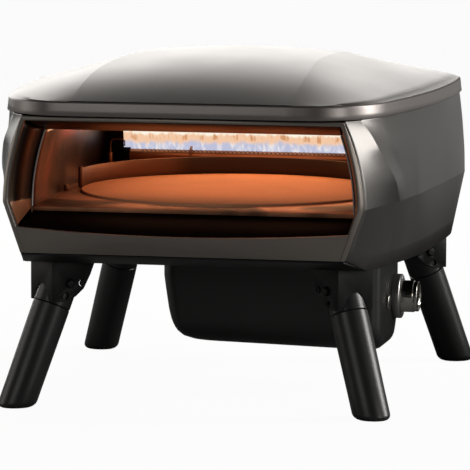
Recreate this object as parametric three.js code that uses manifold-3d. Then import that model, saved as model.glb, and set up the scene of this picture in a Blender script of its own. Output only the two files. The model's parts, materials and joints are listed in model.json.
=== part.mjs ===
// Portable gas pizza oven on four folding legs, with a turning stone.
// Millimetres, +Z up, front towards -Y. The stone's axis is the working origin of all
// lengths below, and the finished group is set so that its footprint is centred on X and Y.
import * as THREE from 'three';
import { mergeVertices } from 'three/addons/utils/BufferGeometryUtils.js';
import Module from 'manifold-3d';

const wasm = await Module();
wasm.setup();

// Clearances and general values
const seatGap = 0.3;
const runGap = 0.5;
const cutOver = 2;
const weld = 0.0005;
const sheet = 1.5;

// Heights of the housing above the ground
const groundClearance = 186;
const lowerShellHeight = 83;
const upperShellHeight = 110;
const baseTop = groundClearance;
const creaseZ = baseTop + lowerShellHeight;
const bandBottom = creaseZ + upperShellHeight;

// Stone: every reach in plan is measured outwards from its rim
const stoneRadius = 200;

// Lid
const lidSideMargin = 75;
const lidHalfWidth = stoneRadius + lidSideMargin;
const lidFrontMargin = 131;
const lidFront = stoneRadius + lidFrontMargin;
const lidRearMargin = 95;
const lidRear = stoneRadius + lidRearMargin;
const lidBandHeight = 18;
const lidWall = 2;
const lidEdgeRadius = 3;
const lidBandDraft = 1.7;
const lidDomeRise = 41;
const lidCrownRise = 9;
const lidCrestForward = 10;
const lidBandTop = bandBottom + lidBandHeight;
const domePower = 2.6;
// Rows of the lid from front to rear: outline x, outline y, crease x, crease y,
// as shares of the half width and of the front or rear reach
const lidRowShares = [
  [0.502, -1, 0.502, -1],
  [0.618, -0.992, 0.502, -0.961],
  [0.709, -0.973, 0.502, -0.915],
  [0.745, -0.937, 0.502, -0.855],
  [0.807, -0.843, 0.502, -0.773],
  [0.862, -0.77, 0.5, -0.704],
  [0.884, -0.71, 0.498, -0.64],
  [0.924, -0.541, 0.487, -0.498],
  [0.964, -0.308, 0.469, -0.293],
  [0.989, -0.079, 0.462, -0.079],
  [1, 0.186, 0.465, 0.169],
  [0.998, 0.427, 0.469, 0.373],
  [0.982, 0.688, 0.48, 0.569],
  [0.953, 0.776, 0.495, 0.671],
  [0.895, 0.868, 0.505, 0.759],
  [0.833, 0.963, 0.513, 0.847],
  [0.789, 0.992, 0.516, 0.908],
  [0.709, 1, 0.516, 0.959],
  [0.516, 1, 0.516, 1],
];
const crownShares = [-0.75, -0.5, -0.25, 0, 0.25, 0.5, 0.75];
const lidFirstShellRow = 4;

// Shell below the lid
const shellWall = 1.6;
const shellTuck = 5;
const shellFreeStations = 3;
const shellInset = lidWall + lidBandDraft * shellTuck / lidBandHeight + runGap;
const creaseSideMargin = 74;
const shellCreaseHalfWidth = stoneRadius + creaseSideMargin;
const creaseFrontInset = 18;
const shellCreaseFront = stoneRadius - creaseFrontInset;
const creaseRearMargin = 95;
const shellCreaseRear = stoneRadius + creaseRearMargin;
const footSideMargin = 60;
const shellFootHalfWidth = stoneRadius + footSideMargin;
const footFrontInset = 6;
const shellFootFront = stoneRadius - footFrontInset;
const footRearMargin = 83;
const shellFootRear = stoneRadius + footRearMargin;
// Levels between lid and crease: height, x and y shares of the way down the cheek's crease
const cheekShares = [[0, 0, 0], [0.156, 0.293, 0.16], [0.349, 0.571, 0.292],
  [0.55, 0.772, 0.557], [0.747, 0.926, 0.82], [1, 1, 1]];
// Crease line and foot line from the cheek to the rear, as x and y shares
const creaseLineShares = [[0.918, -1], [0.929, -0.879], [0.938, -0.769], [0.949, -0.632],
  [0.959, -0.516], [0.969, -0.143], [0.981, 0.176], [0.994, 0.441], [1, 0.678], [0.985, 0.786],
  [0.923, 0.875], [0.847, 0.963], [0.803, 0.99], [0.723, 1]];
const footLineShares = [[0.904, -1], [0.919, -0.887], [0.931, -0.784], [0.95, -0.644],
  [0.965, -0.49], [0.988, -0.18], [0.997, 0.106], [1, 0.389], [0.996, 0.654], [0.977, 0.784],
  [0.927, 0.876], [0.862, 0.961], [0.815, 0.989], [0.731, 1]];

// Front frame round the mouth
const frameMargin = 119.4;
const frameY = -(stoneRadius + frameMargin);
const frameDepth = 6;
const frameTopMargin = 4;
const frameTopHalf = stoneRadius + frameTopMargin;
const frameWideMargin = 29;
const frameWideHalf = stoneRadius + frameWideMargin;
const frameFootMargin = 6.7;
const frameFootHalf = stoneRadius + frameFootMargin;
const frameFootRise = 19.7;
const frameFootZ = baseTop + frameFootRise;
const frameBarTop = 5;
const frameBarSide = 6.3;
const frameBarCorner = 3.7;
const frameLidGap = 2;
const frameBack = frameY + frameDepth;
const frameTopZ = bandBottom - frameLidGap;

// Apron under the mouth
const apronTopDrop = 30.6;
const apronTopZ = creaseZ - apronTopDrop;
const apronBow = 22;
const apronSag = 6;
const apronLip = 8;
const apronColumns = 16;

// Mouth: jambs, lintel and threshold
const mouthBackMargin = 54.5;
const mouthBackY = -(stoneRadius + mouthBackMargin);
const mouthBackSideMargin = 7;
const mouthBackFootHalf = stoneRadius + mouthBackSideMargin;
const mouthBackTopDrop = 22;
const mouthBackTopZ = bandBottom - mouthBackTopDrop;
const mouthBackCreaseRise = 2;
const mouthBackCreaseZ = creaseZ + mouthBackCreaseRise;

// Liner of the baking chamber
const linerRearMargin = 62;
const linerRearY = stoneRadius + linerRearMargin;
const linerSideMargin = 39;
const linerHalfWidth = stoneRadius + linerSideMargin;
const linerLean = 17;
const mouthBackTopHalf = mouthBackFootHalf - linerLean;
const linerKnee = 9;
const ceilingRise = 8;
// Liner along Y: share of the run from front to rear, and share of the widening
const linerShares = [[0, 0], [0.2, 0.16], [0.4, 0.45], [0.6, 0.64], [0.8, 0.84], [1, 1]];

// Base pan
const panSheet = 2;
const panColumns = 4;
const bushHole = 10;
const pipeHole = 9;

// Floor plate, stone and turntable
const stoneThick = 12;
const floorDrop = 12;
const floorTop = creaseZ - floorDrop;
const stoneProud = 3;
const stoneTop = floorTop + stoneProud;
const stoneChamfer = 1.5;
const stoneGap = 2.5;
const floorSheet = 2;
const floorFrontMargin = 50;
const floorFront = -(stoneRadius + floorFrontMargin);
const floorLip = 5;
const plateInset = 16;
const plateRadius = stoneRadius - plateInset;
const plateThick = 2.5;
const plateRim = 5;
const hubRadius = 15;
const hubLength = 14;
const shaftRadius = 4;
const bushFlange = 15;
const bushFlangeThick = 3;
const motorRadius = 26;
const gearboxHeight = 24;
const motorCanRadius = 15;
const motorCanHeight = 34;
const motorCanOffset = 8;
const shaftInMotor = 12;

// Flame guard behind the stone
const guardClear = 1.5;
const guardHeight = 25;
const guardSheet = 1.5;
const guardStart = -3;
const guardSteps = 26;
const guardPostRadius = 3;
const guardPostExtra = 3;

// Burner
const burnerMargin = 40;
const burnerY = stoneRadius + burnerMargin;
const burnerRise = 21.5;
const burnerZ = floorTop + burnerRise;
const burnerRadius = 8.3;
const burnerWall = 1.3;
const burnerLeftMargin = 7;
const burnerLeft = -(stoneRadius + burnerLeftMargin);
const burnerRightInset = 4;
const burnerRight = stoneRadius - burnerRightInset;
const capWall = 1.6;
const capDepth = 12;
const capDome = 5;
const burnerHangerX = 110;
const hangerWidth = 26;
const hangerSheet = 2;
const hangerTop = 5;

// Igniter beside the burner's left end
const electrodeMargin = 24;
const electrodeX = -(stoneRadius + electrodeMargin);
const electrodeRadius = 4;
const electrodeHeight = 24;
const sparkRadius = 1.2;
const sparkRise = 18;
const sparkReach = 20;

// Stud on the floor plate
const studMargin = 14;
const studX = -(stoneRadius + studMargin);
const studY = -50;
const studRadius = 3.5;
const studHeight = 8;

// Control housing under the base
const boxLeft = -86;
const boxRight = 203;
const boxFront = -48;
const boxRear = 112;
const boxDepth = 126;
const boxExtraDepth = 5;
const boxWall = 3;
const boxFrontRadius = 30;
const boxRearRadius = 62;
const boxEndReach = 62;
const boxEdge = 8;
const boxSlopeStart = 74;
const boxSlopeEnd = 147;
const boxArcSteps = 5;
// Left end of the housing: share of the reach, share of the depth that the floor is up
const boxEndShares = [[0, 0.7], [0.05, 0.53], [0.11, 0.335], [0.17, 0.225], [0.26, 0.125],
  [0.39, 0.06], [0.6, 0.02], [1, 0]];
const boxEdgeShares = [0, 0.5, 0.87, 1];

// Gas knob, valve and supply
const knobY = 73;
const knobAboveFloor = 55;
const knobZ = baseTop - boxDepth + knobAboveFloor;
const bezelRadius = 29.5;
const bezelThick = 10;
const bezelFloor = 2.5;
const bezelNotch = 3;
const knobRadius = 21;
const knobFace = 22;
const knobTravel = 4;
const knobGroove = 1.5;
const knobGrooveWidth = 2;
const knobNose = 4;
const knobNoseInset = 1.2;
const knobDish = 1.5;
const knobStemCover = 7;
const stemRadius = 3;
const noseRadius = 8;
const valveRadius = 14;
const valveLength = 46;
const valveX = 172;
const stemBack = 14;
const pipeRadius = 5.2;
const inletRadius = 6;
const inletReach = 26;
const inletBarb = 1.2;
const inletBarbs = 2;
const inletFlange = 9;
const inletFlangeThick = 4;

// Gas pipe from valve to burner
const pipeBend = 14;
const pipeRunRise = 36;
const pipeRunZ = baseTop + pipeRunRise;
const pipeDropMargin = 16;
const pipeDropX = stoneRadius + pipeDropMargin;
const pipeInBurner = 10;
const pipeSteps = 24;

// Power button
const buttonY = 15;
const buttonAboveFloor = 54;
const buttonZ = baseTop - boxDepth + buttonAboveFloor;
const buttonRingRadius = 10.3;
const buttonRingThick = 3;
const buttonRadius = 7;
const buttonTravel = 2.5;
const buttonProud = 0.5;
const buttonLength = 12;
const buttonSleeve = 1;
const buttonBack = 2;

// Legs: bracket, knuckle, tube, pivot bolt and lock plunger
const frontPivotInset = 16;
const frontPivotX = stoneRadius - frontPivotInset;
const frontPivotMargin = 3;
const frontPivotY = -(stoneRadius + frontPivotMargin);
const rearPivotMargin = 6;
const rearPivotX = stoneRadius + rearPivotMargin;
const rearPivotBack = 50;
const rearPivotY = stoneRadius + rearPivotBack;
const legYaw = 45;
const legTilt = 22;
const pivotDrop = 30;
const legTopRadius = 24;
const legFootRadius = 23.4;
const footEdge = 8;
const footEdgeSteps = 3;
const knuckleLength = 31;
const bracketSheet = 2;
const bracketWeb = 27;
const bracketDepth = 65;
const bracketHeight = 52;
const bracketNotchGap = 1.4;
const bracketToeRadius = 6;
const boltRadius = 4;
const boltHeadRadius = 6;
const boltHeadHeight = 3.2;
const lockRadius = 4;
const lockReach = 17;
// Flange outline towards the middle of the oven: depth share and height share
const flangeShares = [[1, 1], [0.877, 0.636], [0.723, 0.291], [0.54, 0.11]];

// Angles in degrees
const rightAngle = 90;
const straightAngle = 180;

// General shares
const middleShare = 0.5;
const panelShares = [-1, -0.5, 0, 0.5, 1];
const bendShare = 0.3;
const panBendShare = 0.4;
const panBendHalfShare = 0.94;
const lockSagShare = 0.02;
const toeShare = 0.3;
const boxRadiusShare = 0.95;

// Numbers of sides
const ringSides = 56;
const legSides = 18;
const plateSides = 40;
const domeSteps = 4;
const boltSides = 12;
const knobSides = 28;
const tubeSides = 16;
const pipeSides = 8;

// Axes that turn a solid made along Z
const alongX = [0, 1, 0, 0, 0, 1, 1, 0, 0];
const alongY = [0, 0, 1, 1, 0, 0, 0, 1, 0];
const alongFront = [1, 0, 0, 0, 0, 1, 0, -1, 0];

// Surface finishes
function finish(color, roughness, metalness) {
  return new THREE.MeshStandardMaterial({ color, roughness, metalness });
}
const lidPaint = finish(0xa8a29c, 0.38, 0.55);
const shellPaint = finish(0x77706a, 0.42, 0.5);
const framePaint = finish(0x8a7d6b, 0.4, 0.5);
const linerSteel = finish(0x7b5a3c, 0.35, 0.85);
const floorSteel = finish(0xa9998a, 0.3, 0.9);
const darkSteel = finish(0x2f2b29, 0.5, 0.6);
const stoneFace = finish(0xcdb9a2, 0.9, 0);
const plainSteel = finish(0x9b9895, 0.35, 0.85);
const blackPlastic = finish(0x232323, 0.5, 0.05);
const legPlastic = finish(0x2c2c2d, 0.42, 0.1);
const chrome = finish(0xc9cacc, 0.15, 1);
const brass = finish(0xb08d4c, 0.35, 0.9);
const ceramic = finish(0xe4e0d8, 0.6, 0);

// Solids
function clean(geometry) {
  const plain = geometry.clone();
  plain.deleteAttribute('normal');
  plain.deleteAttribute('uv');
  const merged = mergeVertices(plain, weld);
  const index = Array.from(merged.index.array);
  const kept = [];
  for (let k = 0; k < index.length; k += 3) {
    const [a, b, c] = index.slice(k, k + 3);
    if (a !== b && b !== c && c !== a) {
      kept.push(a, b, c);
    }
  }
  merged.setIndex(kept);
  return outward(merged);
}

function signedVolume(geometry) {
  const p = geometry.attributes.position;
  const index = geometry.index.array;
  const corner = [new THREE.Vector3(), new THREE.Vector3(), new THREE.Vector3()];
  let sum = 0;
  for (let k = 0; k < index.length; k += 3) {
    corner.forEach((c, n) => c.fromBufferAttribute(p, index[k + n]));
    sum += corner[0].dot(corner[1].cross(corner[2]));
  }
  return sum;
}

function outward(geometry) {
  if (signedVolume(geometry) < 0) {
    const index = Array.from(geometry.index.array);
    for (let k = 0; k < index.length; k += 3) {
      [index[k], index[k + 1]] = [index[k + 1], index[k]];
    }
    geometry.setIndex(index);
  }
  geometry.computeVertexNormals();
  return geometry;
}

function toSolid(geometry) {
  const closed = clean(geometry);
  return new wasm.Manifold(new wasm.Mesh({
    numProp: 3,
    vertProperties: new Float32Array(closed.attributes.position.array),
    triVerts: new Uint32Array(closed.index.array),
  }));
}

function toGeometry(solid) {
  const mesh = solid.getMesh();
  const geometry = new THREE.BufferGeometry();
  geometry.setAttribute('position', new THREE.BufferAttribute(mesh.vertProperties, 3));
  geometry.setIndex(Array.from(mesh.triVerts));
  return clean(geometry);
}

function joined(parts, cuts = []) {
  let solid = toSolid(parts[0]);
  for (const part of parts.slice(1)) {
    solid = solid.add(toSolid(part));
  }
  for (const cut of cuts) {
    solid = solid.subtract(toSolid(cut));
  }
  return toGeometry(solid);
}

function turned(geometry, axes) {
  const [ax, ay, az, bx, by, bz, cx, cy, cz] = axes;
  const basis = new THREE.Matrix4().makeBasis(
    new THREE.Vector3(ax, ay, az), new THREE.Vector3(bx, by, bz), new THREE.Vector3(cx, cy, cz));
  return geometry.applyMatrix4(basis);
}

function lathe(profile, sides) {
  const points = profile.map(([r, z]) => new THREE.Vector2(r, z));
  return clean(new THREE.LatheGeometry(points, sides).rotateX(Math.PI / 2));
}

function drum(radius, low, high, sides) {
  return lathe([[0, low], [radius, low], [radius, high], [0, high]], sides);
}

function circle(radius, sides, x = 0, y = 0) {
  const points = [];
  for (let k = 0; k < sides; k += 1) {
    const a = 2 * Math.PI * k / sides;
    points.push([x + radius * Math.cos(a), y + radius * Math.sin(a)]);
  }
  return points;
}

function plate(outline, low, high, holes = []) {
  const shape = new THREE.Shape(outline.map(([x, y]) => new THREE.Vector2(x, y)));
  for (const hole of holes) {
    shape.holes.push(new THREE.Path(hole.map(([x, y]) => new THREE.Vector2(x, y))));
  }
  const geometry = new THREE.ExtrudeGeometry(shape, { depth: high - low, bevelEnabled: false });
  return clean(geometry.translate(0, 0, low));
}

function block(x0, x1, y0, y1, z0, z1) {
  return plate([[x0, y0], [x1, y0], [x1, y1], [x0, y1]], z0, z1);
}

function fromFaces(points, faces) {
  const geometry = new THREE.BufferGeometry();
  geometry.setAttribute('position', new THREE.Float32BufferAttribute(points.flat(), 3));
  geometry.setIndex(faces.flat());
  return clean(geometry);
}

function gridFaces(rows, columns, start, flip) {
  const faces = [];
  for (let i = 0; i < rows - 1; i += 1) {
    for (let j = 0; j < columns - 1; j += 1) {
      const a = start + i * columns + j;
      const b = a + 1;
      const c = a + columns;
      const d = c + 1;
      faces.push(flip ? [a, c, b] : [a, b, c], flip ? [b, c, d] : [b, d, c]);
    }
  }
  return faces;
}

function gridRim(rows, columns) {
  const rim = [];
  for (let j = 0; j < columns; j += 1) {
    rim.push(j);
  }
  for (let i = 1; i < rows; i += 1) {
    rim.push(i * columns + columns - 1);
  }
  for (let j = columns - 2; j >= 0; j -= 1) {
    rim.push((rows - 1) * columns + j);
  }
  for (let i = rows - 2; i > 0; i -= 1) {
    rim.push(i * columns);
  }
  return rim;
}

// A closed solid between two grids of points, joined round their rims, by way of any rings
function skinned(outer, inner, rings = []) {
  const rows = outer.length;
  const columns = outer[0].length;
  const count = rows * columns;
  const rim = gridRim(rows, columns);
  const points = [...outer.flat(), ...inner.flat(), ...rings.flat()];
  const faces = [...gridFaces(rows, columns, 0, false), ...gridFaces(rows, columns, count, true)];
  const loops = [rim];
  rings.forEach((ring, n) => loops.push(ring.map((p, k) => 2 * count + n * rim.length + k)));
  loops.push(rim.map((k) => k + count));
  for (let n = 0; n < loops.length - 1; n += 1) {
    for (let k = 0; k < rim.length; k += 1) {
      const next = (k + 1) % rim.length;
      const [a, b] = [loops[n][k], loops[n][next]];
      const [c, d] = [loops[n + 1][k], loops[n + 1][next]];
      faces.push([b, a, c], [b, c, d]);
    }
  }
  return fromFaces(points, faces);
}

function gridNormal(grid, i, j) {
  const at = (m, n) => new THREE.Vector3(...grid[m][n]);
  const up = Math.min(i + 1, grid.length - 1);
  const down = Math.max(i - 1, 0);
  const right = Math.min(j + 1, grid[0].length - 1);
  const left = Math.max(j - 1, 0);
  const along = at(up, j).sub(at(down, j));
  const across = at(i, right).sub(at(i, left));
  return across.cross(along).normalize();
}

// A sheet of even thickness laid behind a grid of points
function sheetOf(grid, thickness) {
  const behind = grid.map((row, i) => row.map((p, j) => {
    const n = gridNormal(grid, i, j).multiplyScalar(thickness);
    return [p[0] + n.x, p[1] + n.y, p[2] + n.z];
  }));
  return skinned(grid, behind);
}

// A body lofted through sections of equal count, with flat ends
function lofted(sections) {
  const n = sections[0].length;
  const points = sections.flat();
  const faces = [];
  for (let s = 0; s < sections.length - 1; s += 1) {
    for (let k = 0; k < n; k += 1) {
      const a = s * n + k;
      const b = s * n + (k + 1) % n;
      faces.push([a, b, a + n], [b, b + n, a + n]);
    }
  }
  const last = (sections.length - 1) * n;
  for (let k = 1; k < n - 1; k += 1) {
    faces.push([0, k + 1, k], [last, last + k, last + k + 1]);
  }
  return fromFaces(points, faces);
}

// A closed outline moved inwards by an even distance; it runs anticlockwise
function inset(loop, distance) {
  const n = loop.length;
  return loop.map((p, k) => {
    const before = loop[(k + n - 1) % n];
    const after = loop[(k + 1) % n];
    const a = new THREE.Vector2(p[0] - before[0], p[1] - before[1]).normalize();
    const b = new THREE.Vector2(after[0] - p[0], after[1] - p[1]).normalize();
    const na = new THREE.Vector2(-a.y, a.x);
    const nb = new THREE.Vector2(-b.y, b.x);
    const mid = na.clone().add(nb);
    const step = mid.multiplyScalar(distance / (1 + na.dot(nb)));
    return [p[0] + step.x, p[1] + step.y];
  });
}

function lerp(a, b, t) {
  return a + (b - a) * t;
}

function mix(p, q, t) {
  return p.map((v, k) => lerp(v, q[k], t));
}

function mirrored(geometry) {
  return clean(geometry.clone().scale(-1, 1, 1));
}

function reach(share, front, rear) {
  return share < 0 ? share * front : share * rear;
}

// Lid: a sheet dome with two soft creases, closed round its edge by a narrow band
const lidRows = lidRowShares.map(([qx, qy, cx, cy]) => ({
  q: [qx * lidHalfWidth, reach(qy, lidFront, lidRear)],
  c: [cx * lidHalfWidth, reach(cy, lidFront, lidRear)],
}));

function lidHeight(x, y, creaseX) {
  const crest = -lidCrestForward;
  const run = y < crest ? lidFront - lidCrestForward : lidRear + lidCrestForward;
  const fade = 1 - Math.min(1, Math.abs(y - crest) / run) ** domePower;
  const crown = lidCrownRise * (1 - (x / creaseX) ** 2);
  return lidBandTop + fade * (lidDomeRise + crown);
}

function lidPlanRow(row) {
  const inner = crownShares.map((s) => [s * row.c[0], row.c[1]]);
  const left = [[-row.q[0], row.q[1]], [-row.c[0], row.c[1]]];
  return [...left, ...inner, row.c.slice(), row.q.slice()];
}

// The outline of the lid in the order of the grid's rim, and the same moved inwards
function lidLoop(distance) {
  const plan = lidRows.map(lidPlanRow);
  const rim = gridRim(plan.length, plan[0].length).map((k) => plan.flat()[k]);
  const single = rim.filter((p, k) => k === 0 || p[0] !== rim[k - 1][0] || p[1] !== rim[k - 1][1]);
  if (single[0][0] === single[single.length - 1][0]) {
    single.pop();
  }
  const moved = inset(single, distance);
  return rim.map((p) => moved[single.findIndex((s) => s[0] === p[0] && s[1] === p[1])]);
}

function lidGrid(distance, edgeZ, drop) {
  const plan = lidRows.map(lidPlanRow);
  const columns = plan[0].length;
  const height = (i, x, y) => lidHeight(x, y, lidRows[i].c[0]) - drop;
  const grid = plan.map((row, i) => row.map(([x, y]) => [x, y, height(i, x, y)]));
  const loop = lidLoop(distance);
  gridRim(plan.length, columns).forEach((k, n) => {
    grid[Math.floor(k / columns)][k % columns] = [...loop[n], edgeZ];
  });
  return grid;
}

function ringAt(distance, z) {
  return lidLoop(distance).map(([x, y]) => [x, y, z]);
}

function lidShell() {
  const edge = lidBandDraft + lidEdgeRadius;
  const round = lidEdgeRadius * (1 - Math.SQRT1_2);
  const outer = lidGrid(edge, lidBandTop, 0);
  const inner = lidGrid(edge + lidWall, lidBandTop - lidWall, lidWall);
  const rings = [
    ringAt(lidBandDraft + round, lidBandTop - round),
    ringAt(lidBandDraft, lidBandTop - lidEdgeRadius),
    ringAt(0, bandBottom),
    ringAt(lidWall, bandBottom),
    ringAt(lidBandDraft + lidWall, lidBandTop - lidEdgeRadius),
  ];
  return skinned(outer, inner, rings);
}

// Shell: side panels from the frame to the rear, with the cheek, the crease and the foot line
function shellStations() {
  const loop = lidLoop(shellInset);
  const plan = lidRows.map(lidPlanRow);
  const columns = plan[0].length;
  const rim = gridRim(plan.length, columns);
  const top = [];
  for (let i = lidFirstShellRow; i < lidRows.length - 1; i += 1) {
    top.push(loop[rim.indexOf(i * columns + columns - 1)]);
  }
  const crease = creaseLineShares.map(([x, y]) =>
    [x * shellCreaseHalfWidth, reach(y, shellCreaseFront, shellCreaseRear)]);
  const foot = footLineShares.map(([x, y]) =>
    [x * shellFootHalfWidth, reach(y, shellFootFront, shellFootRear)]);
  return { top, crease, foot };
}

const shell = shellStations();
const shellFrontY = frameBack + seatGap;
const panBendY = lerp(shell.foot[0][1], frameY, panBendShare);
const panBendHalf = shell.foot[0][0] * panBendHalfShare;

function shellLevel(v, z) {
  const share = cheekShares.find((s) => s[0] === v);
  const line = shell.top.map((p, k) => [
    lerp(p[0], shell.crease[k][0], share[1]), lerp(p[1], shell.crease[k][1], share[2]), z]);
  const front = [lerp(frameTopHalf, frameWideHalf, v), shellFrontY, z];
  return [front, mix(front, line[0], middleShare), ...line];
}

function sideShell() {
  const low = lerp(frameTopZ, bandBottom, middleShare);
  const tuck = shellLevel(0, bandBottom + shellTuck);
  const levels = [tuck.map(([x, y, z], k) => [x, y, k < shellFreeStations ? low : z])];
  for (const [v] of cheekShares) {
    levels.push(shellLevel(v, lerp(frameTopZ, creaseZ, v)));
  }
  const foot = shell.foot.map(([x, y]) => [x, y, baseTop]);
  levels.push([[frameFootHalf, shellFrontY, frameFootZ], [panBendHalf, panBendY, baseTop], ...foot]);
  return sheetOf(levels, shellWall);
}

// The shell's plan at its last station, where the rear panel takes over
function shellEnd(line) {
  const [x, y] = line[line.length - 1];
  return [x - runGap, y];
}

function rearPanel() {
  const ends = [[...shellEnd(shell.foot), baseTop], [...shellEnd(shell.crease), creaseZ],
    [...shellEnd(shell.top), bandBottom + shellTuck]];
  return sheetOf(ends.map(([x, y, z]) => panelShares.map((s) => [s * x, y, z])), shellWall);
}

// Front frame: a folded ring round the mouth, slim above and wider at the sides
function frontFrame() {
  const half = [[frameFootHalf, frameFootZ], [frameWideHalf, creaseZ], [frameTopHalf, frameTopZ]];
  const bars = [[frameTopHalf - frameBarCorner, frameTopZ - frameBarTop],
    [frameWideHalf - frameBarSide, creaseZ], [frameFootHalf - frameBarSide, frameFootZ]];
  const side = [...half, ...bars];
  const right = side.slice(0, half.length);
  const left = right.map(([x, z]) => [-x, z]).reverse();
  const innerLeft = bars.map(([x, z]) => [-x, z]).reverse();
  const loop = [...right, ...left, ...innerLeft, ...bars];
  return turned(plate(loop, -frameBack, -frameY), alongFront);
}

// Lower inner corner of the frame, where apron, jamb and threshold meet
function frameInner(z) {
  const t = (z - frameFootZ) / (creaseZ - frameFootZ);
  return lerp(frameFootHalf, frameWideHalf, t) - frameBarSide;
}

// Apron: a sheet bowed forward to a folded lip along its top
function apronEdge(s) {
  const bow = 1 - s * s;
  const half = frameInner(apronTopZ) - runGap;
  return [half * s, frameY - apronBow * bow, apronTopZ - apronSag * bow];
}

function frontApron() {
  const half = frameInner(frameFootZ) - runGap;
  const foot = (s) => [half * s, frameY, frameFootZ + seatGap];
  const lip = (s) => [apronEdge(s)[0], apronEdge(s)[1] + apronLip, apronEdge(s)[2]];
  const rows = [lip, apronEdge, (s) => mix(apronEdge(s), foot(s), middleShare), foot];
  return sheetOf(rows.map((row) => spread(apronColumns).map(row)), sheet);
}

function spread(count) {
  return Array.from({ length: count + 1 }, (unused, k) => lerp(-1, 1, k / count));
}

// Threshold: the inclined panel from the apron's lip up to the floor plate
function thresholdPanel() {
  const front = (s) => {
    const [x, y, z] = apronEdge(s);
    return [x - seatGap * s, y + apronLip + seatGap, z - seatGap];
  };
  const back = (s) => [(mouthBackFootHalf - runGap) * s, floorFront + floorSheet + runGap,
    floorTop - floorLip - seatGap];
  return sheetOf([back, front].map((row) => spread(apronColumns).map(row)), sheet);
}

// Mouth: lintel above, jambs at the sides, each from the frame back to the liner
function lintel() {
  const front = frameTopHalf - frameBarCorner - sheet;
  const rows = [[front, frameBack + seatGap, frameTopZ - frameBarTop],
    [mouthBackTopHalf - sheet, mouthBackY, mouthBackTopZ]];
  const grid = rows.map(([x, y, z]) => panelShares.map((s) => [s * x, y, z]));
  return sheetOf(grid, -sheet);
}

function jamb() {
  const y = frameBack + seatGap;
  const rise = seatGap + sheet;
  const front = [[frameInner(apronTopZ), y, apronTopZ + seatGap], [frameInner(creaseZ), y, creaseZ],
    [frameTopHalf - frameBarCorner, y, frameTopZ - frameBarTop - rise]];
  const back = [[mouthBackFootHalf, mouthBackY, floorTop + seatGap],
    [mouthBackFootHalf, mouthBackY, mouthBackCreaseZ],
    [mouthBackTopHalf, mouthBackY, mouthBackTopZ - rise]];
  return sheetOf(front.map((p, k) => [p, back[k]]), -sheet);
}

// Liner: side walls standing on the base pan, a back wall and a crowned ceiling
function linerStation(k) {
  const [along, wide] = linerShares[k];
  return [lerp(mouthBackFootHalf, linerHalfWidth, wide), lerp(mouthBackY + seatGap, linerRearY, along)];
}

const linerFloor = linerShares.map((unused, k) => linerStation(k));

function linerSide() {
  const foot = (y) => panLift(y) + panSheet + seatGap + seatGap;
  const top = mouthBackTopZ - seatGap - sheet;
  const knee = floorTop - linerKnee;
  const levels = [[linerLean, foot], [0, () => knee], [0, () => floorTop], [linerLean, () => top]];
  return sheetOf(levels.map(([lean, z]) => linerFloor.map(([x, y]) => [x - lean, y, z(y)])), sheet);
}

function linerBack() {
  const y = linerRearY - seatGap;
  const foot = linerHalfWidth - seatGap;
  const rows = [[foot, floorTop + seatGap], [foot - linerLean, mouthBackTopZ - seatGap - sheet]];
  return sheetOf(rows.map(([x, z]) => panelShares.map((s) => [-s * x, y - sheet, z])), sheet);
}

function linerCeiling() {
  const rows = linerFloor.map(([x, y]) => spread(panColumns).map((s) => {
    const rise = ceilingRise * (1 - s * s);
    return [s * (x - linerLean), y + seatGap, mouthBackTopZ + rise - sheet];
  }));
  return sheetOf(rows, sheet);
}

// Base pan: a shallow sheet tray whose front slopes up to the frame
function panLift(y) {
  const rise = frameFootZ - baseTop - panSheet;
  return baseTop + rise * Math.max(0, (panBendY - y) / (panBendY - frameY));
}

function basePan() {
  const around = [...shell.foot, ...shell.foot.map(([x, y]) => [-x, y]).reverse()];
  const line = inset(around, shellWall + runGap).slice(0, shell.foot.length);
  const bend = [panBendHalf - shellWall - seatGap, panBendY];
  const front = [frameFootHalf - shellWall - seatGap, frameY + sheet];
  const rows = [front, bend, ...line].map(([x, y]) =>
    spread(panColumns).map((s) => [s * x, y, panLift(y)]));
  const bush = drum(bushHole, baseTop - cutOver, baseTop + panSheet + cutOver, legSides);
  const pipe = drum(pipeHole, baseTop - cutOver, baseTop + panSheet + cutOver, boltSides);
  pipe.translate(valveX - valveLength * middleShare, knobY, 0);
  return joined([sheetOf(rows, panSheet)], [bush, pipe]);
}

// Floor plate: follows the liner, with a round hole for the stone and a folded front lip
function floorPlate() {
  const line = linerFloor.map(([x, y], k) => [x - seatGap, k === 0 ? floorFront : y - seatGap * k]);
  const outline = [...line, ...line.map(([x, y]) => [-x, y]).reverse()];
  const hole = circle(stoneRadius + stoneGap, ringSides);
  const low = floorTop - floorSheet;
  const flat = plate(outline, low, floorTop, [hole]);
  const lipHalf = mouthBackFootHalf - seatGap;
  const lip = block(-lipHalf, lipHalf, floorFront, floorFront + floorSheet, floorTop - floorLip, floorTop);
  const drop = drum(pipeHole, low - cutOver, floorTop + cutOver, boltSides);
  return joined([flat, lip], [drop.translate(pipeDropX, burnerY, 0)]);
}

// Stone and turntable
function pizzaStone() {
  const low = stoneTop - stoneThick;
  const shoulder = stoneTop - stoneChamfer;
  return lathe([[0, low], [stoneRadius - stoneChamfer, low], [stoneRadius, low + stoneChamfer],
    [stoneRadius, shoulder], [stoneRadius - stoneChamfer, stoneTop], [0, stoneTop]], ringSides);
}

const plateTop = stoneTop - stoneThick - seatGap;
const hubFoot = plateTop - plateThick - hubLength;

function turntablePlate() {
  const under = plateTop - plateThick;
  const bore = shaftRadius + seatGap;
  const seat = plateTop - plateThick;
  return lathe([[0, seat], [bore, seat], [bore, hubFoot], [hubRadius, hubFoot], [hubRadius, under],
    [plateRadius - plateThick, under], [plateRadius - plateThick, under - plateRim],
    [plateRadius, under - plateRim], [plateRadius, plateTop], [0, plateTop]], plateSides);
}

const gearboxTop = baseTop - seatGap;
const shaftTop = plateTop - plateThick - seatGap;

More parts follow.
